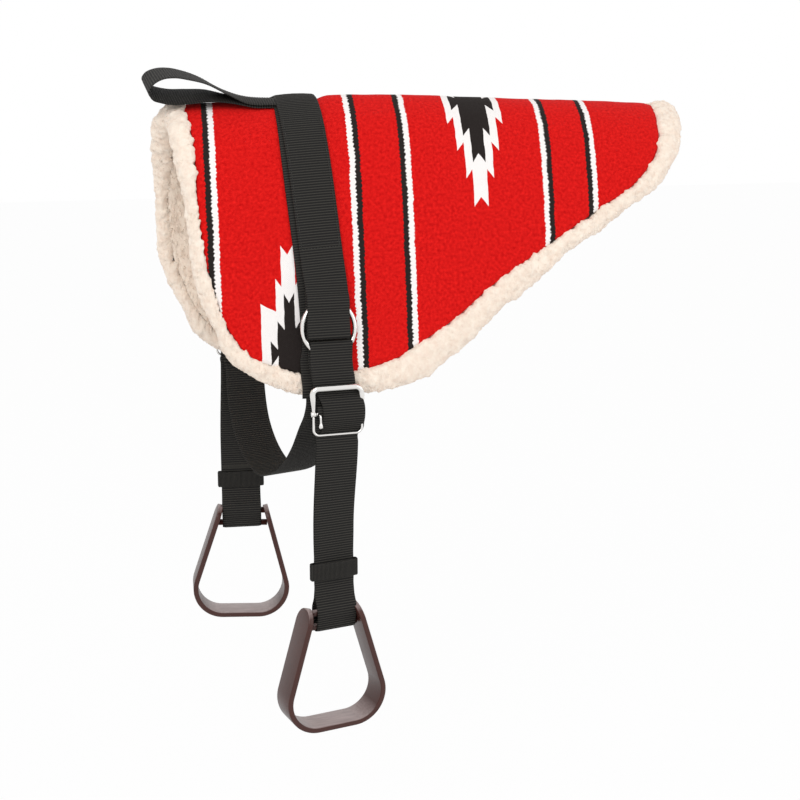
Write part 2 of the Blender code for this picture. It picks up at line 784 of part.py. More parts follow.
def rounded_u(side, half, top, corner, depth_at_end, depth_at_top, end):
    """Points of a U in the side's own plane: up one arm, across its bar and down the other."""
    direction = 1 if top > end else -1
    points = []
    steps = 4
    for k in range(steps + 1):
        angle = math.pi / 2 * k / steps
        points.append((half - corner + corner * math.cos(angle),
                       top - direction * corner * (1 - math.sin(angle))))
    points = [(half, end)] + points
    whole = points + [(-x, z) for x, z in reversed(points)]
    route = []
    for x, z in whole:
        share = (z - end) / (top - end)
        out = side.outset + depth_at_end + (depth_at_top - depth_at_end) * share
        route.append(side.at(out, z + side.pin_z) + across_x * x)
    return route


def buckle_frame(side):
    route = rounded_u(side, frame_half, frame_rise, frame_corner_radius, depth_pin, depth_frame, -pin_radius)
    return wire(named(side, "buckle_frame"), route, frame_wire_diameter)


def buckle_heel(side):
    end = -pin_radius - touch_gap
    route = rounded_u(side, frame_half, -heel_drop, frame_corner_radius, depth_pin, depth_heel, end)
    return wire(named(side, "buckle_heel"), route, heel_wire_diameter)


def buckle_pin(side):
    half = frame_half - frame_wire_diameter / 2 - touch_gap
    middle = side.at(side.outset + depth_pin, side.pin_z)
    return wire(named(side, "buckle_pin"), [middle - across_x * half, middle + across_x * half], pin_diameter)


def buckle_tongue(side):
    """The tongue: out from the pin through the slot, then down to its round end."""
    radius = tongue_wire_diameter / 2
    start = depth_pin + pin_radius + touch_gap
    front = depth_bulge + half_ply + touch_gap + radius
    bulb = tongue_bulb_diameter / 2
    points = [(start, 0), ((start + front) / 2, 0), (front, -radius), (front + radius, -tongue_length / 2),
              (front + radius, -tongue_length + bulb)]
    name = named(side, "buckle_tongue")
    route = [side.at(side.outset + out, z + side.pin_z) + across_x * tongue_offset for out, z in points]
    curve = wire(name + "_wire", route, tongue_wire_diameter)
    depsgraph = bpy.context.evaluated_depsgraph_get()
    mesh = bpy.data.meshes.new_from_object(curve.evaluated_get(depsgraph))
    bpy.data.objects.remove(curve, do_unlink=True)
    bm = bmesh.new()
    bm.from_mesh(mesh)
    bmesh.ops.remove_doubles(bm, verts=bm.verts, dist=vertex_merge)
    bm.to_mesh(mesh)
    bm.free()
    tongue = bpy.data.objects.new(name, mesh)
    bpy.ops.mesh.primitive_uv_sphere_add(segments=10, ring_count=6, radius=bulb)
    ball = bpy.context.object
    ball.location = route[-1]
    finish_object(tongue, bright_nickel, metal_look)
    modifier = tongue.modifiers.new("round_end", "BOOLEAN")
    modifier.operation = "UNION"
    modifier.object = ball
    ball.name = name + "_ball"
    ball.hide_render = True
    ball.display_type = "WIRE"
    for collection in list(ball.users_collection):
        collection.objects.unlink(ball)
    cutters.objects.link(ball)
    return tongue


def turned(side, point, share=1):
    """A point of the strap, turned by a share of the strap's twist about its own plumb line."""
    axis = side.at(side.outset + strap_middle, 0)
    offset = point - axis
    cos, sin = math.cos(side.twist * share), math.sin(side.twist * share)
    return np.array([axis[0] + offset[0] * cos - offset[1] * sin,
                     axis[1] + offset[0] * sin + offset[1] * cos, point[2]])


def twist_direction(side, share=1):
    return np.array([math.cos(side.twist * share), math.sin(side.twist * share), 0])


bar_radius = stirrup_bar_diameter / 2
bar_ply = bar_radius + touch_gap + half_ply
eye_ply = bar_ply + stirrup_bar_spacing * math.sin(tilt_allowance)


def stirrup_strap(side):
    """The doubled lower strap, folded round the stirrup's bars."""
    ply = ply_step / 2
    bar = side.bar_z
    down = [(ply, side.cut - ply_gap), (ply, bar + stirrup_bar_spacing + eye_taper),
            (ply * 1.8, bar + stirrup_bar_spacing + eye_taper * 0.8),
            (eye_ply, bar + stirrup_bar_spacing + bar_radius),
            (eye_ply, bar + stirrup_bar_spacing - bar_radius),
            (bar_ply + (eye_ply - bar_ply) * 0.3, bar + bar_radius)]
    turn = fold((0, bar), bar_ply, 0, -math.pi)
    up = [(-out, z) for out, z in reversed(down)]
    middle = side.outset + strap_middle
    route = [turned(side, side.at(middle + out, z)) for out, z in down + turn + up]
    made = strap(named(side, "stirrup_strap"), route, twist_direction(side))
    return finish_object(made, black_webbing, fabric_look)


def keeper(side):
    """A flat webbing loop round both plies of the stirrup strap."""
    half_x = webbing_width / 2 + keeper_side_clearance + keeper_wall / 2
    half_y = ply_step / 2 + half_ply + keeper_clearance + keeper_wall / 2
    outline = []
    for corner_x, corner_y, start in ((1, 1, 0), (-1, 1, 0.5), (-1, -1, 1), (1, -1, 1.5)):
        for k in range(keeper_corner_steps + 1):
            angle = math.pi * (start + k / keeper_corner_steps / 2)
            outline.append((corner_x * (half_x - keeper_corner) + keeper_corner * math.cos(angle),
                            corner_y * (half_y - keeper_corner) + keeper_corner * math.sin(angle)))
    outline.append(outline[0])
    middle = side.outset + strap_middle
    rows = []
    for z in (side.keeper_top, side.keeper_top - keeper_height):
        rows.append([turned(side, side.at(middle, z) + np.array([x, y, 0])) for x, y in outline])
    loop = grid_object(named(side, "keeper"), rows)
    bm = bmesh.new()
    bm.from_mesh(loop.data)
    bmesh.ops.remove_doubles(bm, verts=bm.verts, dist=vertex_merge)
    bmesh.ops.recalc_face_normals(bm, faces=bm.faces)
    bm.to_mesh(loop.data)
    bm.free()
    add_solidify(loop, keeper_wall, 0)
    return finish_object(loop, black_webbing, fabric_look)


def stirrup_half_path():
    """Centre line of the band's half, from its lug down the side, round the corner to the middle."""
    half_band = stirrup_band / 2
    top = np.array([stirrup_top_half_width - half_band, stirrup_bar_below_top])
    radius = stirrup_corner_radius - half_band
    bottom = stirrup_bar_below_top - stirrup_height + half_band
    centre = np.array([stirrup_half_width - half_band - radius, bottom + radius])
    to_centre = centre - top
    distance = np.linalg.norm(to_centre)
    lean = math.asin(radius / distance) + math.atan2(to_centre[0], -to_centre[1])
    tangent = centre + radius * np.array([math.cos(lean), math.sin(lean)])
    points = [top + (tangent - top) * k / stirrup_side_steps for k in range(stirrup_side_steps)]
    for k in range(stirrup_corner_steps + 1):
        angle = lean - (lean + math.pi / 2) * k / stirrup_corner_steps
        points.append(centre + radius * np.array([math.cos(angle), math.sin(angle)]))
    points.append(np.array([0, bottom]))
    return points, lean


def lug_stations():
    """Extra stations near the lug's end, where the band's width is rounded off."""
    steps = 4
    radius = stirrup_depth / 2
    return [(radius * (1 - math.cos(math.pi / 2 * k / steps)), math.sin(math.pi / 2 * k / steps))
            for k in range(steps + 1)]


def stirrup(side):
    """The stirrup: a broad band, open between its two lugs, with seats for the bars."""
    points, lean = stirrup_half_path()
    top = points[0]
    along = (points[1] - top) / np.linalg.norm(points[1] - top)
    least_share = 0.15
    rows = []
    for distance, share in lug_stations():
        x, z = top + along * distance
        half = stirrup_depth / 2 * max(share, least_share)
        rows.append([(x, y, z) for y in (-half, 0, half)])
    for x, z in points[2:]:
        rows.append([(x, y, z) for y in (-stirrup_depth / 2, 0, stirrup_depth / 2)])
    made = grid_object(named(side, "stirrup"), rows)
    add_mirror(made, 0)
    add_solidify(made, stirrup_band, 0)
    add_bevel(made, stirrup_edge_round, 1)
    made.location = turned(side, side.at(side.outset + strap_middle, side.bar_z))
    made.rotation_euler = (0, 0, side.twist)
    for place, half in bar_places(lean):
        cutter = bar_cylinder(made.name + "_seat", side, place, half + touch_gap, bar_radius + touch_gap)
        cutter.hide_render = True
        cutter.display_type = "WIRE"
        cutters.objects.link(cutter)
        modifier = made.modifiers.new("bar_seat", "BOOLEAN")
        modifier.operation = "DIFFERENCE"
        modifier.object = cutter
    return finish_object(made, brown_plastic, plastic_look)


def bar_places(lean):
    """Height above the lower bar and half length of each bar, seated in the lugs."""
    places = []
    for height in (0, stirrup_bar_spacing):
        inner = stirrup_top_half_width - stirrup_band + (stirrup_bar_below_top - height) * math.tan(lean)
        places.append((height, inner + stirrup_bar_seat))
    return places


def bar_cylinder(name, side, height, half, radius):
    bpy.ops.mesh.primitive_cylinder_add(vertices=16, radius=radius, depth=half * 2)
    made = bpy.context.object
    made.name = name
    made.rotation_euler = (0, math.pi / 2, side.twist)
    made.location = turned(side, side.at(side.outset + strap_middle, side.bar_z + height))
    for collection in list(made.users_collection):
        collection.objects.unlink(made)
    return made


def stirrup_bar(side, name, index):
    """One of the two round bars that the strap's eye goes round."""
    height, half = bar_places(stirrup_half_path()[1])[index]
    made = bar_cylinder(named(side, name), side, height, half, bar_radius)
    return finish_object(made, brown_plastic, plastic_look)


# Assembly

outer_depth = cover_thickness + layer_gap
pad_layer("woven_cover", 0, cover_thickness, red_weave)
pad_layer("foam_core", outer_depth, core_thickness - 2 * layer_gap, grey_foam)
lining_depth = cover_thickness + core_thickness + layer_gap
pad_layer("fleece_lining", lining_depth, lining_thickness - layer_gap, cream_fleece)
edge_roll("fleece_edge_roll")
surcingle_under_ply()
grab_handle()
girth_strap()

near_side = Side("left", -1, (near_ring_x, near_ring_down_length, near_ring_lift),
                 (near_leather_stand, near_pin_below_ring, near_leather_lean),
                 (near_keeper_below_pin, near_strap_below_pin), near_twist)
far_side = Side("right", 1, (far_ring_x, far_ring_down_length, far_ring_lift),
                (far_leather_stand, far_pin_below_ring, far_leather_lean),
                (far_keeper_below_pin, far_strap_below_pin), far_twist)
surcingle_top_ply(near_side.hinge_z, far_side.hinge_z)
for one_side in (near_side, far_side):
    ring_chape(one_side)
    ring(one_side)
    leather(one_side)
    billet(one_side)
    buckle_frame(one_side)
    buckle_pin(one_side)
    buckle_heel(one_side)
    buckle_tongue(one_side)
    stirrup_strap(one_side)
    keeper(one_side)
    stirrup(one_side)
    stirrup_bar(one_side, "lower_bar", 0)
    stirrup_bar(one_side, "upper_bar", 1)
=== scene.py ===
import math
from functools import reduce
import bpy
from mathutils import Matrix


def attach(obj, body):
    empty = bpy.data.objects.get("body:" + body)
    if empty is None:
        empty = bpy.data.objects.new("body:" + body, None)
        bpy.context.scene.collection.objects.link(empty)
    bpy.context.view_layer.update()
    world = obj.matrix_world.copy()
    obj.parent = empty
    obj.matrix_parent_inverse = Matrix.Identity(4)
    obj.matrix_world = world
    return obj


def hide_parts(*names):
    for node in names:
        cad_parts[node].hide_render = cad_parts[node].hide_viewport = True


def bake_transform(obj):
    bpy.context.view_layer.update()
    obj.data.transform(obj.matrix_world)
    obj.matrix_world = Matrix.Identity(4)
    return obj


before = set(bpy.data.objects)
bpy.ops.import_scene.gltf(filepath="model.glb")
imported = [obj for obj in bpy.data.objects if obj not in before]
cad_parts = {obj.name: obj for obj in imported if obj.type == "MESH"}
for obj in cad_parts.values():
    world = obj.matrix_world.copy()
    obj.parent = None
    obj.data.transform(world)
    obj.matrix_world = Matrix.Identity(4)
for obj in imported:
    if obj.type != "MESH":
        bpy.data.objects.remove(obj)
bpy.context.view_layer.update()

from types import SimpleNamespace

import bpy
import numpy as np
from mathutils import Vector, noise

# Bareback pad: woven cover over foam and fleece, webbing surcingle, girth, grab handle and stirrups.
# X runs along the spine with the head towards -X, -Y is the near side, Z is up. Metres.

scene = bpy.context.scene
scene.view_settings.view_transform = "Standard"

view = {
    "azimuth": -19.5,  # degrees from straight on to the near side
    "elevation": 12.4,
    "distance": 1.8,
    "focalPixels": 1421.8,
    "framePixels": 800,
    "target": (-0.0435, 0, -0.350),
}


def placeCamera():
    turn, rise = math.radians(view["azimuth"]), math.radians(view["elevation"])
    back = Vector((math.sin(turn) * math.cos(rise), -math.cos(turn) * math.cos(rise), math.sin(rise)))
    camera = bpy.data.objects.new("camera", bpy.data.cameras.new("camera"))
    camera.data.sensor_width = 36
    camera.data.lens = view["focalPixels"] / view["framePixels"] * camera.data.sensor_width
    camera.location = Vector(view["target"]) + back * view["distance"]
    camera.rotation_mode = "QUATERNION"
    camera.rotation_quaternion = (-back).to_track_quat("-Z", "Y")
    scene.collection.objects.link(camera)
    scene.camera = camera


placeCamera()
print("camera placed")


# Materials

def linear(hexColour):
    channels = [int(hexColour[i:i + 2], 16) / 255 for i in (1, 3, 5)]
    return [c / 12.92 if c <= 0.04045 else ((c + 0.055) / 1.055) ** 2.4 for c in channels] + [1]


def feed(tree, node, inputs):
    # sockets are linked, anything else is set as a constant
    for name, value in inputs.items():
        if isinstance(value, bpy.types.NodeSocket):
            tree.links.new(value, node.inputs[name])
        else:
            node.inputs[name].default_value = value


def addNode(tree, kind, settings=None, inputs=None):
    node = tree.nodes.new(kind)
    for name, value in (settings or {}).items():
        setattr(node, name, value)
    feed(tree, node, inputs or {})
    return node


def maths(tree, operation, first, second=0.0, third=0.0):
    inputs = {0: first, 1: second, 2: third}
    return addNode(tree, "ShaderNodeMath", {"operation": operation}, inputs).outputs[0]


def times(tree, first, second):
    return maths(tree, "MULTIPLY", first, second)


def scaled(tree, value, gain, offset):
    return maths(tree, "MULTIPLY_ADD", value, gain, offset)


def wave(tree, kind, turns):
    return maths(tree, kind, times(tree, turns, 2 * math.pi))


def mixed(tree, share, first, second):
    # colours are given as sockets or as hex
    first, second = (linear(c) if isinstance(c, str) else c for c in (first, second))
    return addNode(tree, "ShaderNodeMix", {"data_type": "RGBA"}, {0: share, 6: first, 7: second}).outputs[2]


def noiseAt(tree, vector, scale, detail=2.0, roughness=0.5):
    inputs = {"Vector": vector, "Scale": scale, "Detail": detail, "Roughness": roughness}
    return addNode(tree, "ShaderNodeTexNoise", None, inputs).outputs[0]


def ramped(tree, value, low, high):
    return addNode(tree, "ShaderNodeMapRange", None,
                   {"Value": value, "From Min": low, "From Max": high}).outputs[0]


def splitUp(tree, vector):
    return addNode(tree, "ShaderNodeSeparateXYZ", None, {0: vector}).outputs


def facingUp(tree):
    return splitUp(tree, addNode(tree, "ShaderNodeNewGeometry").outputs["Normal"])[2]


def newMaterial(name):
    made = bpy.data.materials.new(name)
    made.use_nodes = True
    return made, made.node_tree, made.node_tree.nodes["Principled BSDF"]


def placeOf(tree, attribute=None):
    # where on the piece: the place that an attribute keeps, or the object's own coordinates
    if attribute:
        return addNode(tree, "ShaderNodeAttribute", {"attribute_name": attribute}).outputs["Vector"]
    return addNode(tree, "ShaderNodeTexCoord").outputs["Object"]


shaderSockets = {"specular": "Specular IOR Level", "sheen": "Sheen Weight", "sheenSpread": "Sheen Roughness",
                 "metallic": "Metallic", "ior": "IOR", "coat": "Coat Weight", "coatSpread": "Coat Roughness"}


def finishMaterial(tree, shader, colour, roughness, height, bump, **constants):
    distance, strength = bump
    bumped = addNode(tree, "ShaderNodeBump", None,
                     {"Height": height, "Distance": distance, "Strength": strength}).outputs[0]
    feed(tree, shader, {"Base Color": colour, "Roughness": roughness, "Normal": bumped})
    feed(tree, shader, {shaderSockets[key]: value for key, value in constants.items()})


lowDiamond = {
    "notch": 0.0115,
    "white": [(0.0078, 0.1210), (0.0152, 0.0850), (0.0330, 0.0580)],
    "black": [(0.0060, 0.0665), (0.0148, 0.0360), (0.0230, 0.0145)],
}
weave = {
    "red": "#EA0D10",
    "redShade": "#A00204",
    "redLight": "#FF2B24",
    "black": "#1E1918",
    "blackDust": "#4A4340",
    "white": "#FAF6F4",
    "whiteShade": "#D9D0CC",
    "weft": 0.0022,  # spacing of the weft rows down the flap, metres
    "warp": 0.0026,
    # noises: how many in a metre, detail and roughness
    "wanderNoise": (55.0,),
    "frayNoise": (900.0, 3.0),
    "phaseNoise": (90.0,),
    "mottle": (260.0, 6.0, 0.75),
    "fleck": (900.0, 2.0),
    "hair": (700.0, 4.0),
    "fleckFloor": 0.62,
    "wander": 0.0030,  # how far the yarns wander, so that no edge is ruled
    "fray": 0.0010,
    "phase": 0.012,
    "stripeWidth": 0.0067,  # one of a pair, white or black
    "toothPeriod": 0.0050,  # the stripes' edges step in and out with the weft
    "toothDepth": 0.0021,
    "outerTooth": 0.7,
    # middle of the white stripe along the spine, and which way its black partner lies
    "stripes": [(-0.2778, -1), (-0.1155, 1), (-0.0465, -1), (0.1285, 1), (0.1950, -1)],
    # stepped diamonds: centre along and down, the steps' half widths and how far each reaches
    "diamonds": [
        {"along": 0.0432, "down": 0.0190, "notch": 0.0115,
         "white": [(0.0088, 0.1440), (0.0177, 0.1102), (0.0270, 0.0766), (0.0362, 0.0410)],
         "black": [(0.0083, 0.0912), (0.0179, 0.0577), (0.0277, 0.0195)]},
        {"along": -0.1974, "down": 0.3150, **lowDiamond},
        {"along": -0.1974, "down": -0.3150, **lowDiamond},
    ],
    "diamondReach": 0.15,  # size that the curves' shares are of
    "stepJoin": 0.00012,  # each step's edge is this far from upright
}


def steppedReach(tree, across, steps, notch):
    # how far the stepped figure reaches at each distance from its middle line: a saw of spikes
    reach = weave["diamondReach"]
    points = []
    inner = 0.0
    for half, tip in steps:
        points += [(inner, tip - notch), (half, tip)]
        inner = half + weave["stepJoin"]
    points += [(inner, 0.0), (reach, 0.0)]
    node = addNode(tree, "ShaderNodeFloatCurve", None, {"Value": maths(tree, "DIVIDE", across, reach)})
    curve = node.mapping.curves[0]
    while len(curve.points) < len(points):
        curve.points.new(0.5, 0.5)
    for target, (x, y) in zip(curve.points, points):
        target.location = (x / reach, y / reach)
        target.handle_type = "VECTOR"
    node.mapping.update()
    return times(tree, node.outputs[0], reach)


def joined(tree, masks):
    return reduce(lambda first, second: maths(tree, "MAXIMUM", first, second), masks)


def weavePattern(tree, along, down, tooth, fray):
    # where the cloth is white and where black
    white, black = [], []
    half = weave["stripeWidth"] / 2
    toothed, outerToothed = maths(tree, "ADD", along, tooth), scaled(tree, tooth, weave["outerTooth"], along)
    for middle, partner in weave["stripes"]:
        border = middle + partner * half
        pair = maths(tree, "COMPARE", outerToothed, border, half * 2)
        side = maths(tree, "LESS_THAN" if partner > 0 else "GREATER_THAN", toothed, border)
        white.append(times(tree, pair, side))
        black.append(maths(tree, "SUBTRACT", pair, white[-1]))
    for figure in weave["diamonds"]:
        across = maths(tree, "ABSOLUTE", maths(tree, "SUBTRACT", along, figure["along"]))
        frayed = maths(tree, "SUBTRACT", maths(tree, "ADD", down, fray), figure["down"])
        reach = maths(tree, "ABSOLUTE", frayed)
        for masks, shade in ((white, "white"), (black, "black")):
            masks.append(maths(tree, "LESS_THAN", reach,
                               steppedReach(tree, across, figure[shade], figure["notch"])))
    return joined(tree, white), joined(tree, black)


def makeRedWeave():
    # acrylic and wool blanket cloth, weft faced: matte, hairy, slightly mottled, rows showing
    made, tree, shader = newMaterial("wovenBlanketCloth")
    lie = placeOf(tree, "lie")
    along, down, _ = splitUp(tree, lie)
    wander = scaled(tree, noiseAt(tree, lie, *weave["wanderNoise"]), weave["wander"], -weave["wander"] / 2)
    fray = scaled(tree, noiseAt(tree, lie, *weave["frayNoise"]), weave["fray"], -weave["fray"] / 2)
    along = maths(tree, "ADD", along, maths(tree, "ADD", wander, fray))
    phase = maths(tree, "ADD", down, times(tree, noiseAt(tree, lie, *weave["phaseNoise"]), weave["phase"]))
    tooth = maths(tree, "PINGPONG", phase, weave["toothPeriod"] / 2)
    tooth = scaled(tree, tooth, weave["toothDepth"] / weave["toothPeriod"] * 2, -weave["toothDepth"] / 2)
    white, black = weavePattern(tree, along, down, tooth, fray)
    mottle = noiseAt(tree, lie, *weave["mottle"])
    fleck = maths(tree, "GREATER_THAN", noiseAt(tree, lie, *weave["fleck"]), weave["fleckFloor"])
    weft = wave(tree, "SINE", maths(tree, "DIVIDE", down, weave["weft"]))
    warp = wave(tree, "SINE", maths(tree, "DIVIDE", along, weave["warp"]))
    cloth = scaled(tree, times(tree, weft, warp), 0.5, 0.5)
    red = mixed(tree, ramped(tree, mottle, 0.36, 0.64), weave["redShade"], weave["redLight"])
    red = mixed(tree, 0.40, red, weave["red"])
    red = mixed(tree, times(tree, cloth, 0.45), red, weave["redShade"])
    red = mixed(tree, times(tree, fleck, 0.45), red, weave["redLight"])
    dark = mixed(tree, times(tree, mottle, 0.3), weave["black"], weave["blackDust"])
    pale = mixed(tree, times(tree, cloth, 0.25), weave["white"], weave["whiteShade"])
    colour = mixed(tree, black, mixed(tree, white, red, pale), dark)
    height = scaled(tree, noiseAt(tree, lie, *weave["hair"]), 1.2, cloth)
    finishMaterial(tree, shader, colour, 0.92, height, (0.00035, 0.8),
                   specular=0.08, sheen=0.03, sheenSpread=0.5)
    return made


fleece = {
    "cream": "#FFF3E4",
    "shade": "#F0DAC8",
    "lockNoise": (125.0, 4.0, 0.6),
    "fibreNoise": (1500.0, 3.0, 0.7),
    "pileLength": 0.0056,
    "pileRadius": 0.00075,
}


def makeFleece():
    # synthetic sheepskin pile: dense, soft, creamy, with locks that shade one another
    made, tree, shader = newMaterial("creamSherpaPile")
    place = placeOf(tree)
    locks = noiseAt(tree, place, *fleece["lockNoise"])
    fibres = noiseAt(tree, place, *fleece["fibreNoise"])
    share = scaled(tree, fibres, 0.5, times(tree, locks, 0.5))
    colour = mixed(tree, ramped(tree, share, 0.35, 0.62), fleece["shade"], fleece["cream"])
    finishMaterial(tree, shader, colour, 0.95, share, (0.0012, 0.7), specular=0.2, sheen=0.3, sheenSpread=0.6)
    return made


webbing = {
    "width": 0.0508,
    "thickness": 0.0020,
    "ribPitch": 0.0030,
    "ribHeight": 0.00022,
    "yarnPitch": 0.0011,
    "dustNoise": (6.0, 5.0, 0.65),
    "sharpness": 2.6,  # of the lit crests
    "crest": "#46433D",
    "valley": "#070606",
    "thread": "#161513",
    "threadLight": "#3A3936",
    "threadTwist": 900.0,
}


def makeWebbing():
    # heavy spun polypropylene webbing: dull black, cross ribs that catch the light on their crests
    made, tree, shader = newMaterial("blackRibbedWebbing")
    run = placeOf(tree, "run")
    across, count, _ = splitUp(tree, run)
    ribs = wave(tree, "COSINE", count)
    # warp yarns cross the ribs, each rib half a step from the last
    stagger = times(tree, maths(tree, "FLOOR", count), 0.5)
    yarns = wave(tree, "COSINE", scaled(tree, across, 1 / webbing["yarnPitch"], stagger))
    dust = noiseAt(tree, run, *webbing["dustNoise"])
    crest = maths(tree, "POWER", scaled(tree, ribs, 0.5, 0.5), webbing["sharpness"])
    crest = times(tree, crest, scaled(tree, yarns, 0.12, 0.75))
    crest = times(tree, crest, scaled(tree, dust, 0.6, 0.6))
    colour = mixed(tree, crest, webbing["valley"], webbing["crest"])
    height = scaled(tree, yarns, 0.35, times(tree, ribs, 0.6))
    finishMaterial(tree, shader, colour, 0.68, height, (0.00018, 0.8), specular=0.25)
    return made


def makeThread():
    # bonded polyester sewing thread, a shade glossier than the webbing
    made, tree, shader = newMaterial("blackSewingThread")
    place = placeOf(tree)
    twist = addNode(tree, "ShaderNodeTexWave", {"bands_direction": "DIAGONAL"},
                    {"Vector": place, "Scale": webbing["threadTwist"]}).outputs["Fac"]
    colour = mixed(tree, twist, webbing["thread"], webbing["threadLight"])
    finishMaterial(tree, shader, colour, 0.5, twist, (0.0001, 1.0))
    return made


# the dark grey is a painted shade for faces turned down, and the range after it says how far down they must
# face
metal = {"nickel": "#F0EEEB", "shade": "#B9B6B1", "under": "#57534F", "roughness": 0.07,
         "rippleNoise": (160.0, 2.0), "markNoise": (1400.0, 4.0, 0.75), "underFrom": (-0.15, -0.8)}


def makeNickel():
    # nickel-plated cast and drawn wire: bright, faintly rippled, with fine handling marks, and painted shade
    # on the faces turned down
    made, tree, shader = newMaterial("brightNickelPlate")
    place = placeOf(tree)
    ripple = noiseAt(tree, place, *metal["rippleNoise"])
    marks = noiseAt(tree, place, *metal["markNoise"])
    colour = mixed(tree, times(tree, marks, 0.35), metal["nickel"], metal["shade"])
    # painted shade: faces turned downwards are painted towards dark grey, as undersides that fall in shade
    under = times(tree, ramped(tree, facingUp(tree), *metal["underFrom"]), 0.85)
    colour = mixed(tree, under, colour, metal["under"])
    roughness = scaled(tree, marks, 0.14, metal["roughness"])
    height = scaled(tree, marks, 0.12, ripple)
    finishMaterial(tree, shader, colour, roughness, height, (0.0003, 0.6), metallic=1)
    return made


# the pale fourth colour is a painted highlight for faces turned up, and the last range says how far up they
# must face
moulding = {"brown": "#47231C", "deep": "#351813", "streak": "#573A34", "rubbed": "#B7A6A4",
            "roughness": 0.28, "stretch": (40, 220, 900), "flowNoise": (1.0, 4.0, 0.6),
            "grainNoise": (2200.0, 2.0), "cloudNoise": (45.0, 3.0), "rubbedFrom": (0.55, 0.98)}


def makeMoulding():
    # injection-moulded brown plastic: satin, fine grain, faint flow lines, and a painted highlight that makes
    # faces turned up paler, the tread most
    made, tree, shader = newMaterial("brownMouldedPlastic")
    place = placeOf(tree)
    squeezed = addNode(tree, "ShaderNodeMapping", None,
                       {"Vector": place, "Scale": moulding["stretch"]}).outputs[0]
    flow = noiseAt(tree, squeezed, *moulding["flowNoise"])
    grain = noiseAt(tree, place, *moulding["grainNoise"])
    colour = mixed(tree, noiseAt(tree, place, *moulding["cloudNoise"]), moulding["deep"], moulding["brown"])
    colour = mixed(tree, times(tree, flow, 0.25), colour, moulding["streak"])
    # painted highlight: faces turned up, the tread most, are painted pale as if lit from above, broken by the
    # flow lines
    rubbed = times(tree, ramped(tree, facingUp(tree), *moulding["rubbedFrom"]), scaled(tree, flow, 0.8, 0.35))
    colour = mixed(tree, rubbed, colour, moulding["rubbed"])
    roughness = scaled(tree, flow, 0.16, moulding["roughness"])
    finishMaterial(tree, shader, colour, roughness, scaled(tree, grain, 0.5, flow), (0.00012, 0.7),
                   specular=0.3, ior=1.52, coat=0.08, coatSpread=0.22)
    return made


redWeave, creamFleece, blackWebbing = makeRedWeave(), makeFleece(), makeWebbing()
blackThread, brightNickel, brownPlastic = makeThread(), makeNickel(), makeMoulding()
print("materials made")


# Mesh helpers

def meshObject(name, points, faces, material, attribute=None, values=None):
    mesh = bpy.data.meshes.new(name)
    mesh.from_pydata(np.asarray(points, float).reshape(-1, 3).tolist(), [], faces)
    mesh.polygons.foreach_set("use_smooth", np.ones(len(mesh.polygons), bool))
    mesh.materials.append(material)
    if attribute:
        layer = mesh.attributes.new(attribute, "FLOAT_VECTOR", "POINT")
        layer.data.foreach_set("vector", np.asarray(values, np.float32).ravel())
    mesh.update()
    return placed(name, mesh)


def placed(name, data):
    made = bpy.data.objects.new(name, data)
    scene.collection.objects.link(made)
    return made


def carried(piece, body, slot, *nodes):
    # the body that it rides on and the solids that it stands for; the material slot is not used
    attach(piece, body)
    if nodes:
        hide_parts(*nodes)


def bent(piece, nodes):
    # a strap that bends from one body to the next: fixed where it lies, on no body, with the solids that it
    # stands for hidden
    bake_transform(piece)
    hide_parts(*nodes)


def loftFaces(rows, ring, closedRows=False, capped=True):
    # quads between rows of closed sections, each with its points in the same order
    faces = []
    for i in range(rows if closedRows else rows - 1):
        here, there = i * ring, (i + 1) % rows * ring
        for k in range(ring):
            after = (k + 1) % ring
            faces.append((here + k, there + k, there + after, here + after))
    if capped and not closedRows:
        faces.append(tuple(range(ring)))
        faces.append(tuple(reversed(range((rows - 1) * ring, rows * ring))))
    return faces


def runAlong(points):
    # distance from the first point to each
    return np.concatenate([[0], np.cumsum(np.linalg.norm(np.diff(points, axis=0), axis=1))])


def eased(t, step, first, second, firstSlope, secondSlope):
    # a cubic from first to second over a step, at share t of it
    return ((2 * t**3 - 3 * t**2 + 1) * first + (t**3 - 2 * t**2 + t) * step * firstSlope
            + (3 * t**2 - 2 * t**3) * second + (t**3 - t**2) * step * secondSlope)


def smoothRows(keys, longest=0.002):
    # a smooth path through rows of points, paced by the distance between their middle points
    keys = np.asarray(keys, float)
    pace = runAlong(keys[:, keys.shape[1] // 2])
    slopes = np.gradient(keys, pace, axis=0)
    rows = []
    for i in range(len(keys) - 1):
        step = pace[i + 1] - pace[i]
        count = max(3, math.ceil(step / longest))
        rows += [eased(k / count, step, keys[i], keys[i + 1], slopes[i], slopes[i + 1]) for k in range(count)]
    rows.append(keys[-1])
    return np.array(rows)


def resampled(rows, pace, wanted):
    flat = rows.reshape(len(rows), -1)
    even = np.stack([np.interp(wanted, pace, column) for column in flat.T], 1)
    return even.reshape(len(wanted), *rows.shape[1:])


# a strap's section: stations across it, and how thick it is at each
crossStations = np.array([-0.5, -0.478, -0.43, -0.215, 0, 0.215, 0.43, 0.478, 0.5])
crossSwell = np.array([0, 0.72, 1, 1, 1, 1, 1, 0.72, 0])
rowsPerRib = 4


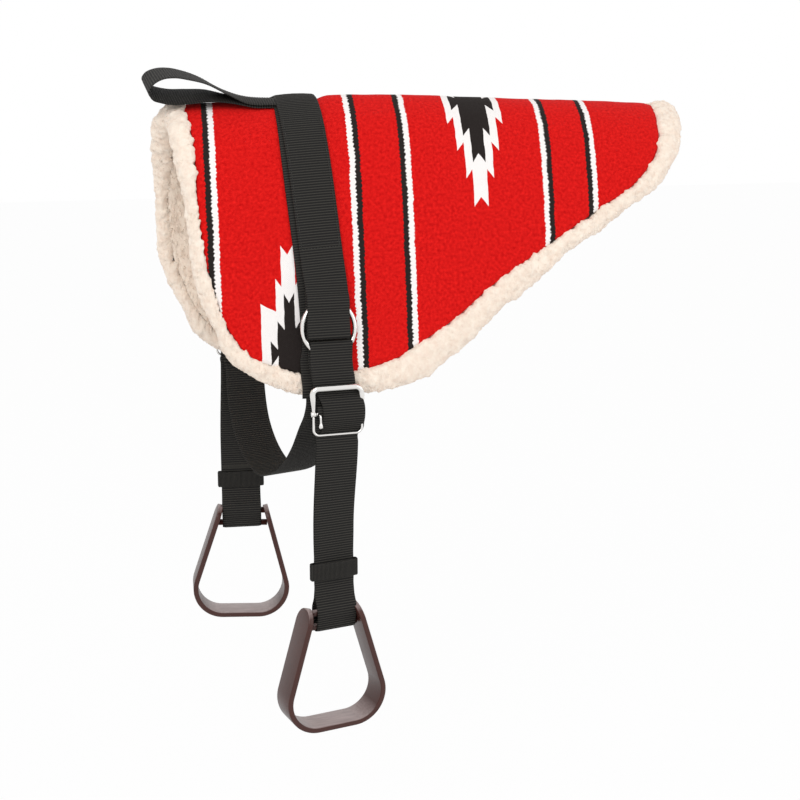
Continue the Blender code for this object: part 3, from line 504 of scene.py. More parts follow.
def webbingStrip(name, keys, thickness=webbing["thickness"], pitch=webbing["ribPitch"]):
    # a ribbed strap through rows of three points: one edge, the middle, the other edge
    rows = smoothRows(keys)
    pace = runAlong(rows[:, 1])
    ribs = max(2, round(pace[-1] / pitch))
    rows = resampled(rows, pace, np.linspace(0, pace[-1], ribs * rowsPerRib + 1))
    x = crossStations[None, :, None]
    grid = rows[:, :1] * (2 * x**2 - x) + rows[:, 1:2] * (1 - 4 * x**2) + rows[:, 2:] * (2 * x**2 + x)
    normals = np.cross(np.gradient(grid, axis=0), np.gradient(grid, axis=1))
    normals /= np.linalg.norm(normals, axis=2, keepdims=True)
    count = np.arange(len(grid)) / rowsPerRib
    rib = webbing["ribHeight"] * np.cos(2 * math.pi * count)
    half = (thickness / 2 - webbing["ribHeight"] + rib[:, None] * (crossSwell == 1)) * crossSwell
    upper, lower = grid + normals * half[..., None], grid - normals * half[..., None]
    section = np.concatenate([upper, lower[:, -2:0:-1]], axis=1)
    width = np.linalg.norm(rows[0, 2] - rows[0, 0])
    run = np.zeros(section.shape)
    run[..., 0] = np.concatenate([crossStations, crossStations[-2:0:-1]]) * width
    run[..., 1] = count[:, None]
    return meshObject(name, section, loftFaces(len(section), section.shape[1]), blackWebbing, "run", run)


def tube(name, points, radii, sides=20, closed=False, material=brightNickel):
    # a round bar along a path; radii is one number or one for each point
    points = np.asarray(points, float)
    radii = np.broadcast_to(radii, len(points))
    tangents = (np.roll(points, -1, 0) - np.roll(points, 1, 0)) if closed else np.gradient(points, axis=0)
    tangents /= np.linalg.norm(tangents, axis=1, keepdims=True)
    side = np.cross(tangents[0], (0.3, 0.8, 0.52))
    angles = np.arange(sides) / sides * 2 * math.pi
    rows = []
    for point, tangent, radius in zip(points, tangents, radii):
        side = side - tangent * side.dot(tangent)
        side /= np.linalg.norm(side)
        other = np.cross(side, tangent)
        rows.append(point + radius * (np.cos(angles)[:, None] * side + np.sin(angles)[:, None] * other))
    return meshObject(name, rows, loftFaces(len(rows), sides, closed), material)


def socketOf(tree, name):
    return next(item.identifier for item in tree.interface.items_tree if item.name == name)


def dressed(name, skin, tree, values, material):
    # runs a Geometry Nodes tree on a skin and keeps what it makes as a plain mesh
    modifier = skin.modifiers.new("made", "NODES")
    modifier.node_group = tree
    for key, value in {**values, "Material": material}.items():
        modifier[socketOf(tree, key)] = value
    bpy.context.view_layer.update()
    mesh = bpy.data.meshes.new_from_object(skin.evaluated_get(bpy.context.evaluated_depsgraph_get()))
    skin.modifiers.remove(modifier)
    return placed(name, mesh)


def treeOf(name, inputs):
    tree = bpy.data.node_groups.new(name, "GeometryNodeTree")
    tree.interface.new_socket("Geometry", in_out="INPUT", socket_type="NodeSocketGeometry")
    for title, kind in {**inputs, "Material": "Material"}.items():
        tree.interface.new_socket(title, in_out="INPUT", socket_type="NodeSocket" + kind)
    tree.interface.new_socket("Geometry", in_out="OUTPUT", socket_type="NodeSocketGeometry")
    return tree, tree.nodes.new("NodeGroupInput").outputs


def endTree(tree, given, points, shape, rotation, scale):
    # a shape on each point, made real, smooth and given its material
    copies = addNode(tree, "GeometryNodeInstanceOnPoints", None,
                     {"Points": points, "Instance": shape.outputs[0], "Rotation": rotation, "Scale": scale})
    real = addNode(tree, "GeometryNodeRealizeInstances", None, {0: copies.outputs[0]})
    smooth = addNode(tree, "GeometryNodeSetShadeSmooth", None, {0: real.outputs[0]})
    painted = addNode(tree, "GeometryNodeSetMaterial", None,
                      {0: smooth.outputs[0], "Material": given["Material"]})
    addNode(tree, "NodeGroupOutput", None, {0: painted.outputs[0]})
    return tree


def stitchTree():
    # one rounded stitch at even spacing along each line of the skin
    tree, given = treeOf("sewnStitches", {"Spacing": "Float", "Stitch Size": "Vector"})
    line = addNode(tree, "GeometryNodeMeshToCurve", None, {"Mesh": given["Geometry"]})
    marks = addNode(tree, "GeometryNodeCurveToPoints", {"mode": "LENGTH"},
                    {"Curve": line.outputs[0], "Length": given["Spacing"]}).outputs
    grain = addNode(tree, "GeometryNodeMeshUVSphere", None, {"Segments": 6, "Rings": 5, "Radius": 0.5})
    return endTree(tree, given, marks["Points"], grain, marks["Rotation"], given["Stitch Size"])


def pileTree():
    # short tapered locks standing on the skin, each leaning its own way
    tree, given = treeOf("fleecePile", {"Density": "Float", "Lock Length": "Float", "Lock Radius": "Float",
                                        "Lean": "Float", "Seed": "Int"})
    spread = addNode(tree, "GeometryNodeDistributePointsOnFaces", None,
                     {"Mesh": given["Geometry"], "Density": given["Density"], "Seed": given["Seed"]}).outputs
    lock = addNode(tree, "GeometryNodeMeshCone", {"fill_type": "NONE"},
                   {"Vertices": 4, "Radius Top": 0.0, "Radius Bottom": given["Lock Radius"],
                    "Depth": given["Lock Length"]})
    most = addNode(tree, "ShaderNodeCombineXYZ", None, {0: given["Lean"], 1: given["Lean"], 2: 3.1})
    least = addNode(tree, "ShaderNodeVectorMath", {"operation": "SCALE"}, {0: most.outputs[0], "Scale": -1.0})
    turn = addNode(tree, "FunctionNodeRandomValue", {"data_type": "FLOAT_VECTOR"},
                   {0: least.outputs[0], 1: most.outputs[0], "Seed": given["Seed"]})
    leaning = addNode(tree, "FunctionNodeRotateRotation", {"rotation_space": "LOCAL"},
                      {0: spread["Rotation"], 1: turn.outputs[0]})
    size = addNode(tree, "FunctionNodeRandomValue", {"data_type": "FLOAT"}, {2: 0.6, 3: 1.25, "Seed": 7})
    return endTree(tree, given, spread["Points"], lock, leaning.outputs[0], size.outputs[1])


stitches, pile = stitchTree(), pileTree()


def sewn(name, lines, spacing=0.0036, size=(0.0009, 0.0009, 0.0026)):
    # a row of stitches along each line of points
    points, edges = [], []
    for line in lines:
        start = len(points)
        points += [tuple(p) for p in line]
        edges += [(i, i + 1) for i in range(start, len(points) - 1)]
    mesh = bpy.data.meshes.new(name + "Lines")
    mesh.from_pydata(points, edges, [])
    guide = placed(name + "Lines", mesh)
    made = dressed(name, guide, stitches, {"Spacing": spacing, "Stitch Size": size}, blackThread)
    bpy.data.objects.remove(guide, do_unlink=True)
    return made


def roughness3d(point, scale, seed):
    return noise.noise(Vector(point) * scale + Vector((seed, seed * 1.7, 0)))


# The pad's own surface: along the spine, and down the flap from the ridge, positive on the near side

padForm = {
    "halfLength": 0.334,
    "flapLength": 0.374,
    "thickness": 0.024,
    "ridgeSag": 0.0095,
    "withersSlope": math.radians(16),
    "flapSlope": math.radians(83),
    "flapSlopeGain": math.radians(3),
    "bend": 0.058,
    "bendGain": 0.014,
    "lean": 0.016,
    "leanLength": 0.080,
    "withers": (0.100, 0.300),  # forwards from here to there the withers' slope comes in
    "ridgeRound": 0.003,  # the ridge is padded, so it turns over softly
    # the padding stands up along the ridge, less towards the front and hardly under the surcingle
    "crest": 0.0050,
    "crestRear": (-0.10, 0.13),
    "crestFront": (0.150, 0.215),
    "crestFrontLoss": 0.62,
    "strapFront": (-0.225, -0.205),
    "strapRear": (-0.152, -0.135),
    "strapLoss": 0.85,
    "crestRun": (0, 0.035),
    # the far flap's front swings forward and out a little
    "farForward": 0.0075,
    "farOut": 0.0060,
    "swingFront": (0.17, 0.30),
    "swingTop": (0, 0.025),
    "swingLow": (0.20, 0.33),
    # the front edges are pressed thinner half way down
    "pinch": 0.0070,
    "farPinch": 0.0085,
    "pinchFront": (0.245, 0.285),
    "pinchTop": (0.06, 0.13),
    "pinchLow": (0.20, 0.30),
}
coverOutline = {
    "front": ((0, 0.128, 0.217, 0.393, 0.519, 0.586, 0.655, 0.770, 0.861, 0.917),
              (-0.925, -0.898, -0.889, -0.886, -0.871, -0.859, -0.838, -0.790, -0.701, -0.560)),
    "bottom": ((-0.560, -0.449, -0.374, -0.284, -0.201), (0.917, 0.926, 0.928, 0.917, 0.896)),
    "rear": ((0, 0.147, 0.214, 0.278, 0.332, 0.382, 0.428, 0.527, 0.604, 0.687, 0.791, 0.896),
             (0.889, 0.877, 0.868, 0.835, 0.784, 0.719, 0.632, 0.452, 0.311, 0.162, 0.006, -0.201)),
}
rimOutline = {
    "front": ((0, 0.179, 0.307, 0.428, 0.583, 0.663, 0.751, 0.821, 0.872, 0.925, 0.963, 0.987),
              (-0.991, -0.964, -0.940, -0.924, -0.910, -0.886, -0.844, -0.820, -0.775, -0.695, -0.620,
               -0.554)),
    "bottom": ((-0.554, -0.449, -0.323, -0.254, -0.198), (0.987, 0.997, 1.0, 0.997, 0.992)),
    "rear": ((0, 0.144, 0.235, 0.299, 0.361, 0.422, 0.489, 0.583, 0.679, 0.791, 0.858, 0.928, 0.973, 0.992),
             (1.006, 0.988, 0.958, 0.913, 0.859, 0.754, 0.653, 0.479, 0.344, 0.168, 0.081, -0.030, -0.114,
              -0.198)),
}


def smoothShare(x, start, end):
    t = np.clip((x - start) / (end - start), 0, 1)
    return t * t * (3 - 2 * t)


def padSurface(a, s, rounded=True):
    a, s = np.broadcast_arrays(np.asarray(a, float), np.asarray(s, float))
    form = padForm
    front = smoothShare(-a, *form["withers"])[..., None]
    start = form["withersSlope"] * front
    end = form["flapSlope"] + form["flapSlopeGain"] * front
    run = np.abs(s)
    steps = (np.arange(40) + 0.5) / 40 * run[..., None]
    slope = start + (end - start) * (1 - np.exp(-steps / (form["bend"] + form["bendGain"] * front)))
    if rounded:
        slope = slope - start * np.exp(-steps / form["ridgeRound"])
    out = np.cos(slope).mean(-1) * run
    down = np.sin(slope).mean(-1) * run
    x = a - form["lean"] * (1 - np.exp(-run / form["leanLength"]))
    swing = smoothShare(-a, *form["swingFront"]) * smoothShare(run, *form["swingTop"])
    swing = swing * (1 - smoothShare(run, *form["swingLow"])) * (s < 0)
    x = x - form["farForward"] * swing
    out = out + form["farOut"] * swing
    ridge = form["thickness"] - form["ridgeSag"] * (a / form["halfLength"]) ** 2
    crest = form["crest"] * (1 - smoothShare(a, *form["crestRear"]))
    crest = crest * (1 - form["crestFrontLoss"] * smoothShare(-a, *form["crestFront"]))
    crest = crest * (1 - form["strapLoss"] * smoothShare(a, *form["strapFront"])
                     * (1 - smoothShare(a, *form["strapRear"])))
    ridge = ridge + crest * (1 - smoothShare(run, *form["crestRun"]))
    return np.stack([x, -np.sign(s) * out, ridge - down], -1)


def pinchAt(a, s):
    form, run = padForm, np.abs(s)
    down = smoothShare(run, *form["pinchTop"]) * (1 - smoothShare(run, *form["pinchLow"]))
    side = np.where(np.asarray(s) < 0, form["farPinch"], form["pinch"])
    return side * smoothShare(-np.asarray(a), *form["pinchFront"]) * down


def padPoint(a, s, lift):
    probe = 0.0005
    lift = np.broadcast_to(np.asarray(lift, float), np.broadcast(a, s).shape)[..., None]
    along = padSurface(np.asarray(a) + probe, s) - padSurface(np.asarray(a) - probe, s)
    down = padSurface(a, np.asarray(s) + probe) - padSurface(a, np.asarray(s) - probe)
    normal = np.cross(down, along)
    normal /= np.linalg.norm(normal, axis=-1, keepdims=True)
    return padSurface(a, s) + lift * normal


def smoothValue(x, xs, ys):
    xs, ys = np.asarray(xs, float), np.asarray(ys, float)
    i = np.clip(np.searchsorted(xs, x) - 1, 0, len(xs) - 2)
    slopes = np.gradient(ys, xs)
    step = xs[i + 1] - xs[i]
    return eased((x - xs[i]) / step, step, ys[i], ys[i + 1], slopes[i], slopes[i + 1])


def outlineSide(outline, part, v):
    # points (along, down) of the front or rear edge, or of the bottom edge, at shares v
    xs, ys = outline[part]
    x = xs[0] + np.asarray(v, float) * (xs[-1] - xs[0])
    y = smoothValue(x, xs, ys)
    a, s = (x, y) if part == "bottom" else (y, x)
    return np.stack([a * padForm["halfLength"], s * padForm["flapLength"]], -1)


def flapGrid(rows, columns):
    # the half pad inside its seam, row by row from the ridge down
    v, u = np.linspace(0, 1, rows + 1), np.linspace(0, 1, columns + 1)
    front, rear = outlineSide(coverOutline, "front", v), outlineSide(coverOutline, "rear", v)
    bottom = outlineSide(coverOutline, "bottom", u)
    front[0, 1] = rear[0, 1] = 0
    u, v = u[None, :, None], v[:, None, None]
    sides = (1 - u) * front[:, None] + u * rear[:, None]
    top = (1 - u) * front[0] + u * rear[0]
    corners = (1 - v) * top + v * ((1 - u) * front[-1] + u * rear[-1])
    grid = sides + (1 - v) * top + v * bottom[None] - corners
    width = np.linalg.norm(rear - front, axis=1)[:, None]
    fromEdge = np.minimum(np.minimum(u[..., 0], 1 - u[..., 0]) * width,
                          (1 - v[..., 0]) * padForm["flapLength"])
    return grid, np.broadcast_to(fromEdge, grid.shape[:2])


def wholePad(layer):
    # both flaps as one grid, far edge to near edge: places along, places down and distance from the edge
    grid, fromEdge = flapGrid(layer["rows"], layer["columns"])
    grid = np.concatenate([grid[:0:-1] * (1, -1), grid])
    return grid[..., 0], grid[..., 1], np.concatenate([fromEdge[:0:-1], fromEdge])


def slabFaces(rows, columns):
    # closed slab: upper grid, lower grid and the wall between them
    faces = []
    count = rows * columns
    for i in range(rows - 1):
        for j in range(columns - 1):
            p = i * columns + j
            faces.append((p, p + columns, p + columns + 1, p + 1))
            faces.append((count + p, count + p + 1, count + p + columns + 1, count + p + columns))
    rim = ([j for j in range(columns)] + [i * columns + columns - 1 for i in range(1, rows)]
           + [(rows - 1) * columns + j for j in range(columns - 2, -1, -1)]
           + [i * columns for i in range(rows - 2, 0, -1)])
    for here, after in zip(rim, rim[1:] + rim[:1]):
        faces.append((here, after, count + after, count + here))
    return faces


def lumps(points, *waves):
    # rolling unevenness at each point: each wave is its share, its count in a metre and its seed
    flat = np.asarray(points).reshape(-1, 3)
    high = [sum(share * roughness3d(p, scale, seed) for share, scale, seed in waves) for p in flat]
    return np.array(high).reshape(np.shape(points)[:-1])


def lumpsOn(a, s, *waves):
    # the same on the flat pad; each layer, the waves' fourth number, has its own
    return sum(lumps(np.stack([a, s, np.full(a.shape, float(layer))], -1), (share, scale, seed))
               for share, scale, seed, layer in waves)


# Woven cover with the foam under it

cover = {"rows": 96, "columns": 150, "foam": 0.0120, "edgeDip": 0.0016, "edgeTurn": 0.010, "ripple": 0.0007,
         "rippleFade": 0.03}


def makeCover():
    a, s, fromEdge = wholePad(cover)
    dip = cover["edgeDip"] * (1 - smoothShare(fromEdge, 0, cover["edgeTurn"]))
    ripple = lumpsOn(a, s, (1, 22, 3, 0), (0.4, 60, 8, 0)) * cover["ripple"]
    upper = padPoint(a, s, ripple * smoothShare(fromEdge, 0, cover["rippleFade"]) - dip)
    lower = padPoint(a, s, -cover["foam"])
    lie = np.stack([a, s, np.zeros(a.shape)], -1)
    return meshObject("wovenCover", np.stack([upper, lower]), slabFaces(*a.shape), redWeave,
                      "lie", np.stack([lie, lie]))


wovenCover = makeCover()
carried(wovenCover, "pad", "red_weave", "woven_cover", "foam_core")
print("cover made")


# Fleece: the lining under the pad, and its edge rolled up over the rim

lining = {"rows": 90, "columns": 130, "top": -0.0123, "bottom": -0.0236, "locks": 0.0012,
          "pile": {"Density": 80000, "Lean": 0.6, "Seed": 11}}
roll = {
    "rows": 1500,
    "sides": 26,
    "proud": 0.0030,  # how far the roll stands above the cover
    "seamAngle": math.radians(120),  # where the cloth tucks under the roll
    "seamDip": 0.004,  # how deep the pile dives into the seam
    "seamStart": 0.0004,
    "seamWander": 0.0046,
    "locks": 0.0027,
    "heart": 0.35,  # the locks swell away from here, as a share from the seam to the rim
    "pile": {"Density": 210000, "Lean": 0.7, "Seed": 23},
}


def makeLining():
    a, s, _ = wholePad(lining)
    locks = lumpsOn(a, s, (1, 110, 5, 1), (0.6, 260, 9, 2)) * lining["locks"]
    upper = padPoint(a, s, lining["top"])
    lower = padPoint(a, s, lining["bottom"] + locks + pinchAt(a, s))
    return meshObject("fleeceLining", np.stack([upper, lower]), slabFaces(*a.shape), creamFleece)


def rimPath(outline):
    # the whole rim once round: near front, bottom, rear, then the far side back again
    v = np.linspace(0, 1, 400)
    half = np.concatenate([outlineSide(outline, "front", v), outlineSide(outline, "bottom", v[1:-1]),
                           outlineSide(outline, "rear", v[::-1])])
    return np.concatenate([half, half[-2:0:-1] * (1, -1)])


def makeRoll():
    pairs = np.stack([rimPath(coverOutline), rimPath(rimOutline)], 1)
    pairs = np.concatenate([pairs, pairs[:1]])
    pace = runAlong(pairs.mean(1))
    even = resampled(pairs, pace, np.linspace(0, pace[-1], roll["rows"], endpoint=False))
    half = (padForm["thickness"] + roll["proud"]) / 2
    middle = roll["proud"] - half
    seam = roll["seamAngle"]
    back = -math.cos(seam)
    angles = seam - (seam + math.pi / 2) * np.linspace(0, 1, roll["sides"])
    across = np.clip((np.cos(angles) + back) / (1 + back), 0, 1)
    lift = middle + half * np.sin(angles)
    lift[0] = middle + half * math.sin(seam) - roll["seamDip"]
    inner, outer = even[:, 0], even[:, 1]
    wander = lumpsOn(inner[:, 0], inner[:, 1], (1, 95, 7, 3), (0.6, 240, 1, 5))[:, None] * roll["seamWander"]
    inner = inner + (inner - outer) / np.linalg.norm(outer - inner, axis=1, keepdims=True) * (
        roll["seamStart"] + wander)
    place = inner[:, None] + (outer - inner)[:, None] * across[None, :, None]
    place = np.concatenate([place, inner[:, None]], axis=1)
    a, s = place[..., 0], place[..., 1]
    lift = np.append(lift, -padForm["thickness"])[None, :]
    section = padPoint(a, s, lift + pinchAt(a, s) * smoothShare(-lift, 0.002, 0.020))
    away = section - padPoint(*(inner + (outer - inner) * roll["heart"]).T, middle)[:, None]
    away /= np.linalg.norm(away, axis=2, keepdims=True)
    swell = lumps(section, (1, 75, 4), (0.7, 190, 6), (0.35, 420, 2)) * roll["locks"]
    swell[:, 0] = 0
    section = section + away * swell[..., None]
    return meshObject("fleeceRoll", section, loftFaces(*section.shape[:2], closedRows=True), creamFleece)


fleeceLining, fleeceRoll = makeLining(), makeRoll()
bpy.context.view_layer.update()
lock = {"Lock Length": fleece["pileLength"], "Lock Radius": fleece["pileRadius"]}
liningPile = dressed("liningPile", fleeceLining, pile, {**lock, **lining["pile"]}, creamFleece)
rollPile = dressed("rollPile", fleeceRoll, pile, {**lock, **roll["pile"]}, creamFleece)
carried(fleeceLining, "pad", "cream_fleece", "fleece_lining")
carried(fleeceRoll, "pad", "cream_fleece", "fleece_edge_roll")
carried(liningPile, "pad", "cream_fleece")
carried(rollPile, "pad", "cream_fleece")
print("fleece made:", len(liningPile.data.polygons), len(rollPile.data.polygons), "pile faces")


# Webbing on the pad

plies = {
    "underLift": 0.0018,
    "crownLift": 0.0044,
    "topLift": 0.0042,
    "topCentre": -0.17649,
    "topLean": 0.080,
    "easeFrom": 0.02,
    "underCentre": -0.17829,
    "underNearLean": 0.042,
    "underFarLean": 0.063,
    "underBow": 0.0060,
    "riseBefore": 0.014,
    "riseAfter": 0.003,
    "turnAfter": 0.014,
    "lap": 0.0004,
    "nearHang": 0.0130,
    "farHang": 0.0173,
    "handleHump": 0.0026,  # the handle's two plies pass under the top ply at the ridge
}
edges3 = np.array([-0.5, 0, 0.5]) * webbing["width"]


def coverEdge(a):
    # how far down the flap the cover ends, along its front corner and bottom
    front, bottom = coverOutline["front"], coverOutline["bottom"]
    along = front[1][-4:-1] + bottom[0]
    down = front[0][-4:-1] + bottom[1]
    return np.interp(np.asarray(a) / padForm["halfLength"], along, down) * padForm["flapLength"]


def underCentre(s):
    # it leans back down both flaps, and bows a little more on the near one
    lean = plies["underNearLean"] if s > 0 else plies["underFarLean"]
    bow = plies["underBow"] * smoothShare(s, 0.08, 0.26) * (1 - smoothShare(s, 0.30, 0.37))
    return plies["underCentre"] + lean * s + bow


def underEdgeRow(sign, offset, lift):
    a = underCentre(sign * padForm["flapLength"]) + edges3
    return padPoint(a, sign * (coverEdge(a) + offset), lift)


def underTurnRow(sign):
    row = underEdgeRow(sign, plies["turnAfter"], plies["crownLift"])
    row[:, 1] = max(row[:, 1], key=abs)
    return row


def girthLevel(sign):
    hang = plies["nearHang"] if sign > 0 else plies["farHang"]
    return underTurnRow(sign)[2][2] - hang


def underPlyRows():
    rows = []
    for sign in (-1, 1):
        edge = coverEdge(underCentre(sign * padForm["flapLength"]) - webbing["width"] / 2)
        half = [padPoint(underCentre(sign * s) + edges3, sign * s, plies["underLift"])
                for s in np.linspace(0, edge - 2 * plies["riseBefore"], 16)]
        for share in np.linspace(0, 1, 5):
            offset = -plies["riseBefore"] + (plies["riseBefore"] + plies["riseAfter"]) * share
            lift = plies["underLift"] + (plies["crownLift"] - plies["underLift"]) * smoothShare(share, 0, 1)
            half.append(underEdgeRow(sign, offset, lift))
        half.append(underTurnRow(sign))
        half.append(half[-1] * (1, 1, 0) + (0, 0, girthLevel(sign) - plies["lap"]))
        rows += half[:0:-1] if sign < 0 else half
    return rows


carried(webbingStrip("surcingleUnderPly", underPlyRows()), "pad", "black_webbing", "surcingle_under_ply")

girth = {
    "lap": 0.0035,
    "inwards": webbing["thickness"] + 0.0004,
    "nearX": -0.17361,
    "farX": -0.21650,
    "drop": 0.123,
    "bank": 0.0018,  # the back edge rides higher at the bottom of the loop
    "spans": (-1, -0.995, -0.955, -0.822, -0.644, -0.467, -0.271, -0.04, 0.20, 0.42, 0.627, 0.868, 0.985, 1),
    "drops": (0, 0.09, 0.19, 0.36, 0.585, 0.75, 0.886, 0.98, 1.0, 0.95, 0.855, 0.615, 0.277, 0),
}


def girthRows():
    ends = [(abs(underTurnRow(sign)[0][1]) - girth["inwards"], girthLevel(sign)) for sign in (1, -1)]
    rows = []
    for span, drop in zip(girth["spans"], girth["drops"]):
        halfSpan, level = ends[0] if span < 0 else ends[1]
        x = girth["nearX"] + (girth["farX"] - girth["nearX"]) * (span + 1) / 2
        z = girth["lap"] + level - drop * girth["drop"]
        bank = girth["bank"] * smoothShare(drop, 0.3, 1.0) / webbing["width"] * 2
        rows.append([(x + e, span * halfSpan, z + bank * e) for e in edges3])
    return rows


carried(webbingStrip("girthStrap", girthRows()), "girth", "black_webbing", "girth_strap")

handle = {
    "pivotX": -0.20938,
    "pivotLift": 0.0028,
    "reach": 0.1411,
    "rise": 0.029,
    "roll": math.radians(22),
    "reachShares": (0, 0.21, 0.37, 0.54, 0.675, 0.79, 0.90, 0.975, 1.0, 0.975, 0.91, 0.80, 0.65, 0.48, 0.31,
                    0.14, 0),
    "riseShares": (0.04, 0.12, 0.36, 0.74, 0.93, 1.02, 0.965, 0.76, 0.53, 0.31, 0.19, 0.10, 0.12, 0.14, 0.12,
                   0.0, -0.06),
    "rollShares": (0, 0.18, 0.30, 0.46, 0.58, 0.62, 0.68, 0.80, 0.90, 1.0, 1.0, 0.95, 0.86, 0.72, 0.48, 0.18,
                   0),
    "drape": 0.0080,  # near the pad both plies bend over the ridge
    "tuck": 0.0068,  # the ends run on to the front edge of the surcingle
    "bend": 0.03,
}


def handleRows():
    base = padForm["thickness"] - padForm["ridgeSag"] * (handle["pivotX"] / padForm["halfLength"]) ** 2
    base += handle["pivotLift"]
    rows = []
    for reach, rise, turn in zip(handle["reachShares"], handle["riseShares"], handle["rollShares"]):
        turn = turn * handle["roll"]
        middle = np.array([handle["pivotX"] - reach * handle["reach"], 0, base + rise * handle["rise"]])
        side = np.array([0, math.cos(turn), math.sin(turn)])
        drape = handle["drape"] * (1 - smoothShare(reach, 0.12, 0.50)) / edges3[2] ** 2
        rows.append([middle + side * e - (0, 0, drape * e * e) for e in edges3])
    tuck = np.array([handle["tuck"], 0, 0])
    return [rows[0] + tuck] + rows + [rows[-1] + tuck]


bent(webbingStrip("grabHandle", handleRows()), ["grab_handle"])
print("surcingle, girth and handle made")


# One side's ring, leather, buckle and stirrup

sideFacts = {
    "left": {"sign": -1, "x": -0.170507, "ringDown": 0.2937, "ringLift": 0.0090, "stand": 0.0129,
             "pinBelow": 0.0964, "keeperBelow": 0.1787, "strapBelow": 0.2643, "twist": 7, "lean": 0.0055,
             "slip": 0.0018, "footShift": -0.0045, "footRoll": 0},
    "right": {"sign": 1, "x": -0.222811, "ringDown": 0.2620, "ringLift": 0.0108, "stand": 0.0171,
              "pinBelow": 0.0710, "keeperBelow": 0.1832, "strapBelow": 0.2590, "twist": -10, "lean": 0.0028,
              "slip": -0.0006, "footShift": 0.0008, "footRoll": 2.8},
}
gap = 0.0003
thick = webbing["thickness"]
step = thick + gap
ring = {"outer": 0.068, "wire": 0.0055}
ringRadius = (ring["outer"] - ring["wire"]) / 2
ringPly = ring["wire"] / 2 + gap + thick / 2
# inside the ring the surcingle's fold lies over the leather's, each pressed flat
chape = {
    "length": 0.045,
    "hingeRise": 0.0013,
    "endRise": 0.0022,
    "foldDrop": 0.003,
    "frontFold": 0.0092,
    "rearFold": 0.0098,
    "frontFlat": thick / 2 + gap + 0.0009,
    "rearFlat": thick / 2 + gap,
    "rearCross": (0.0165, 0.0118),  # where the leather's front ply goes back through the ring
    "drift": 0.0016,
    "bend": 0.012,  # half of the stretch over which the chape bends at its hinge
    "cutAbove": 0.035,  # the leather turns to its stirrup strap this far above the keeper
    "twistAbove": 0.030,
    "twistBelow": 0.005,
}
buckle = {
    "wire": 0.006,
    "stoutness": (0.66, 0.50),
    "sideClearance": 0.0006,
    "corner": 0.007,
    "pin": 0.004,
    "heelWire": 0.0029,
    "tongueWire": 0.0026,
    "tongueBulb": 0.0046,
    "tongueOffset": -0.0232,
    "tongueLength": 0.016,
    "rise": 0.0298,
    "heel": 0.0254,
    "foldRise": 0.009,
    "plyShift": 0.0060,
    # stations along the pin and along a knuckle, each with its radius
    "pinEase": (0.0004, 0.010, 0.85),
    "knuckle": ((-0.0031, 0.0024), (-0.0027, 0.0031), (-0.0012, 0.0034),
                (0.0012, 0.0034), (0.0027, 0.0031), (0.0031, 0.0024)),
}
wrap = buckle["pin"] / 2 + gap + thick / 2
# how far each layer stands out from the leather's middle
depth = {"back": -step * 1.5 + gap / 2}
depth["front"] = depth["back"] + step
depth["billet"] = depth["front"] + step
depth["pin"] = depth["front"] + wrap
depth["frame"] = depth["billet"] + thick / 2 + gap + buckle["wire"] / 2
depth["heel"] = depth["front"] + thick / 2 + gap + buckle["heelWire"] / 2
depth["bulge"] = depth["pin"] + buckle["pin"] / 2 + gap + step + thick / 2
depth["strap"] = (depth["back"] + depth["front"]) / 2
keeper = {"clearance": 0.0004, "wall": 0.0015, "corner": 0.0016, "ease": 0.0033, "height": 0.0205,
          "below": 0.0095, "ribPitch": 0.0016, "lap": 0.0004}
stirrup = {
    "height": 0.151,
    "depth": 0.038,
    "band": 0.0065,
    "topHalf": 0.0325,
    "half": 0.0635,
    "corner": 0.040,
    "barDiameter": 0.008,
    "barSpacing": 0.017,
    "barBelowTop": 0.024,
    "barLean": 0.16,  # the sides spread by this share of the drop
    "eyeAbove": 0.024,
    "edge": 0.0016,
    "edgeFade": 0.004,  # below this half depth the edges thin out too
    "leastHalf": 0.0004,
}
seam = {"edge": 0.0222, "across": 0.0215, "start": 0.05, "rows": (0.052, 0.047), "proud": 0.00002}


def sideFrame(name):
    side = SimpleNamespace(name=name, **sideFacts[name])
    side.turn = math.radians(side.twist)
    surface = padSurface(side.x + padForm["lean"], side.ringDown, rounded=False)
    side.tilt = math.pi / 2 - padForm["flapSlope"]
    side.ringOut = -surface[1] + side.ringLift * math.cos(side.tilt)
    side.ringZ = surface[2] + side.ringLift * math.sin(side.tilt)
    side.outset = side.ringOut + side.stand
    side.pinZ = side.ringZ - side.pinBelow
    side.keeperTop = side.pinZ - side.keeperBelow
    side.cut = side.keeperTop + chape["cutAbove"]
    side.barZ = side.pinZ - side.strapBelow + stirrup["barDiameter"] / 2 + gap + thick
    side.hinge = side.ringDown - chape["length"]
    side.middle = side.outset + depth["strap"]
    return side


def at(side, out, z):
    # the leather leans back towards its buckle and comes true again below
    lean = smoothShare(side.ringZ - z, ringRadius, side.pinBelow)
    lean *= 1 - smoothShare(side.pinZ - z, buckle["heel"], side.pinZ - side.cut)
    return np.array([side.x + side.lean * lean, side.sign * out, z])


def onFlap(side, down, out):
    cos, sin = math.cos(side.tilt), math.sin(side.tilt)
    return side.ringOut + down * sin + out * cos, side.ringZ - down * cos + out * sin


def spun(points, angle):
    # turned about an upright axis through the origin
    x, y, z = np.moveaxis(np.asarray(points, float), -1, 0)
    cos, sin = math.cos(angle), math.sin(angle)
    return np.stack([x * cos - y * sin, x * sin + y * cos, z], -1)


def turned(side, point, share=1.0):
    axis = at(side, side.middle, 0)
    return axis + spun(np.asarray(point) - axis, side.turn * share)


def foldArc(centre, radius, start, sweep, steps=8):
    angles = start + sweep * np.arange(steps + 1) / steps
    return [(centre[0] + radius * math.cos(t), centre[1] + radius * math.sin(t)) for t in angles]


def straightRow(side, out, z, share=0.0, shift=0.0):
    return np.array([turned(side, at(side, out, z) + (e, 0, 0), share) for e in edges3]) + (shift, 0, 0)


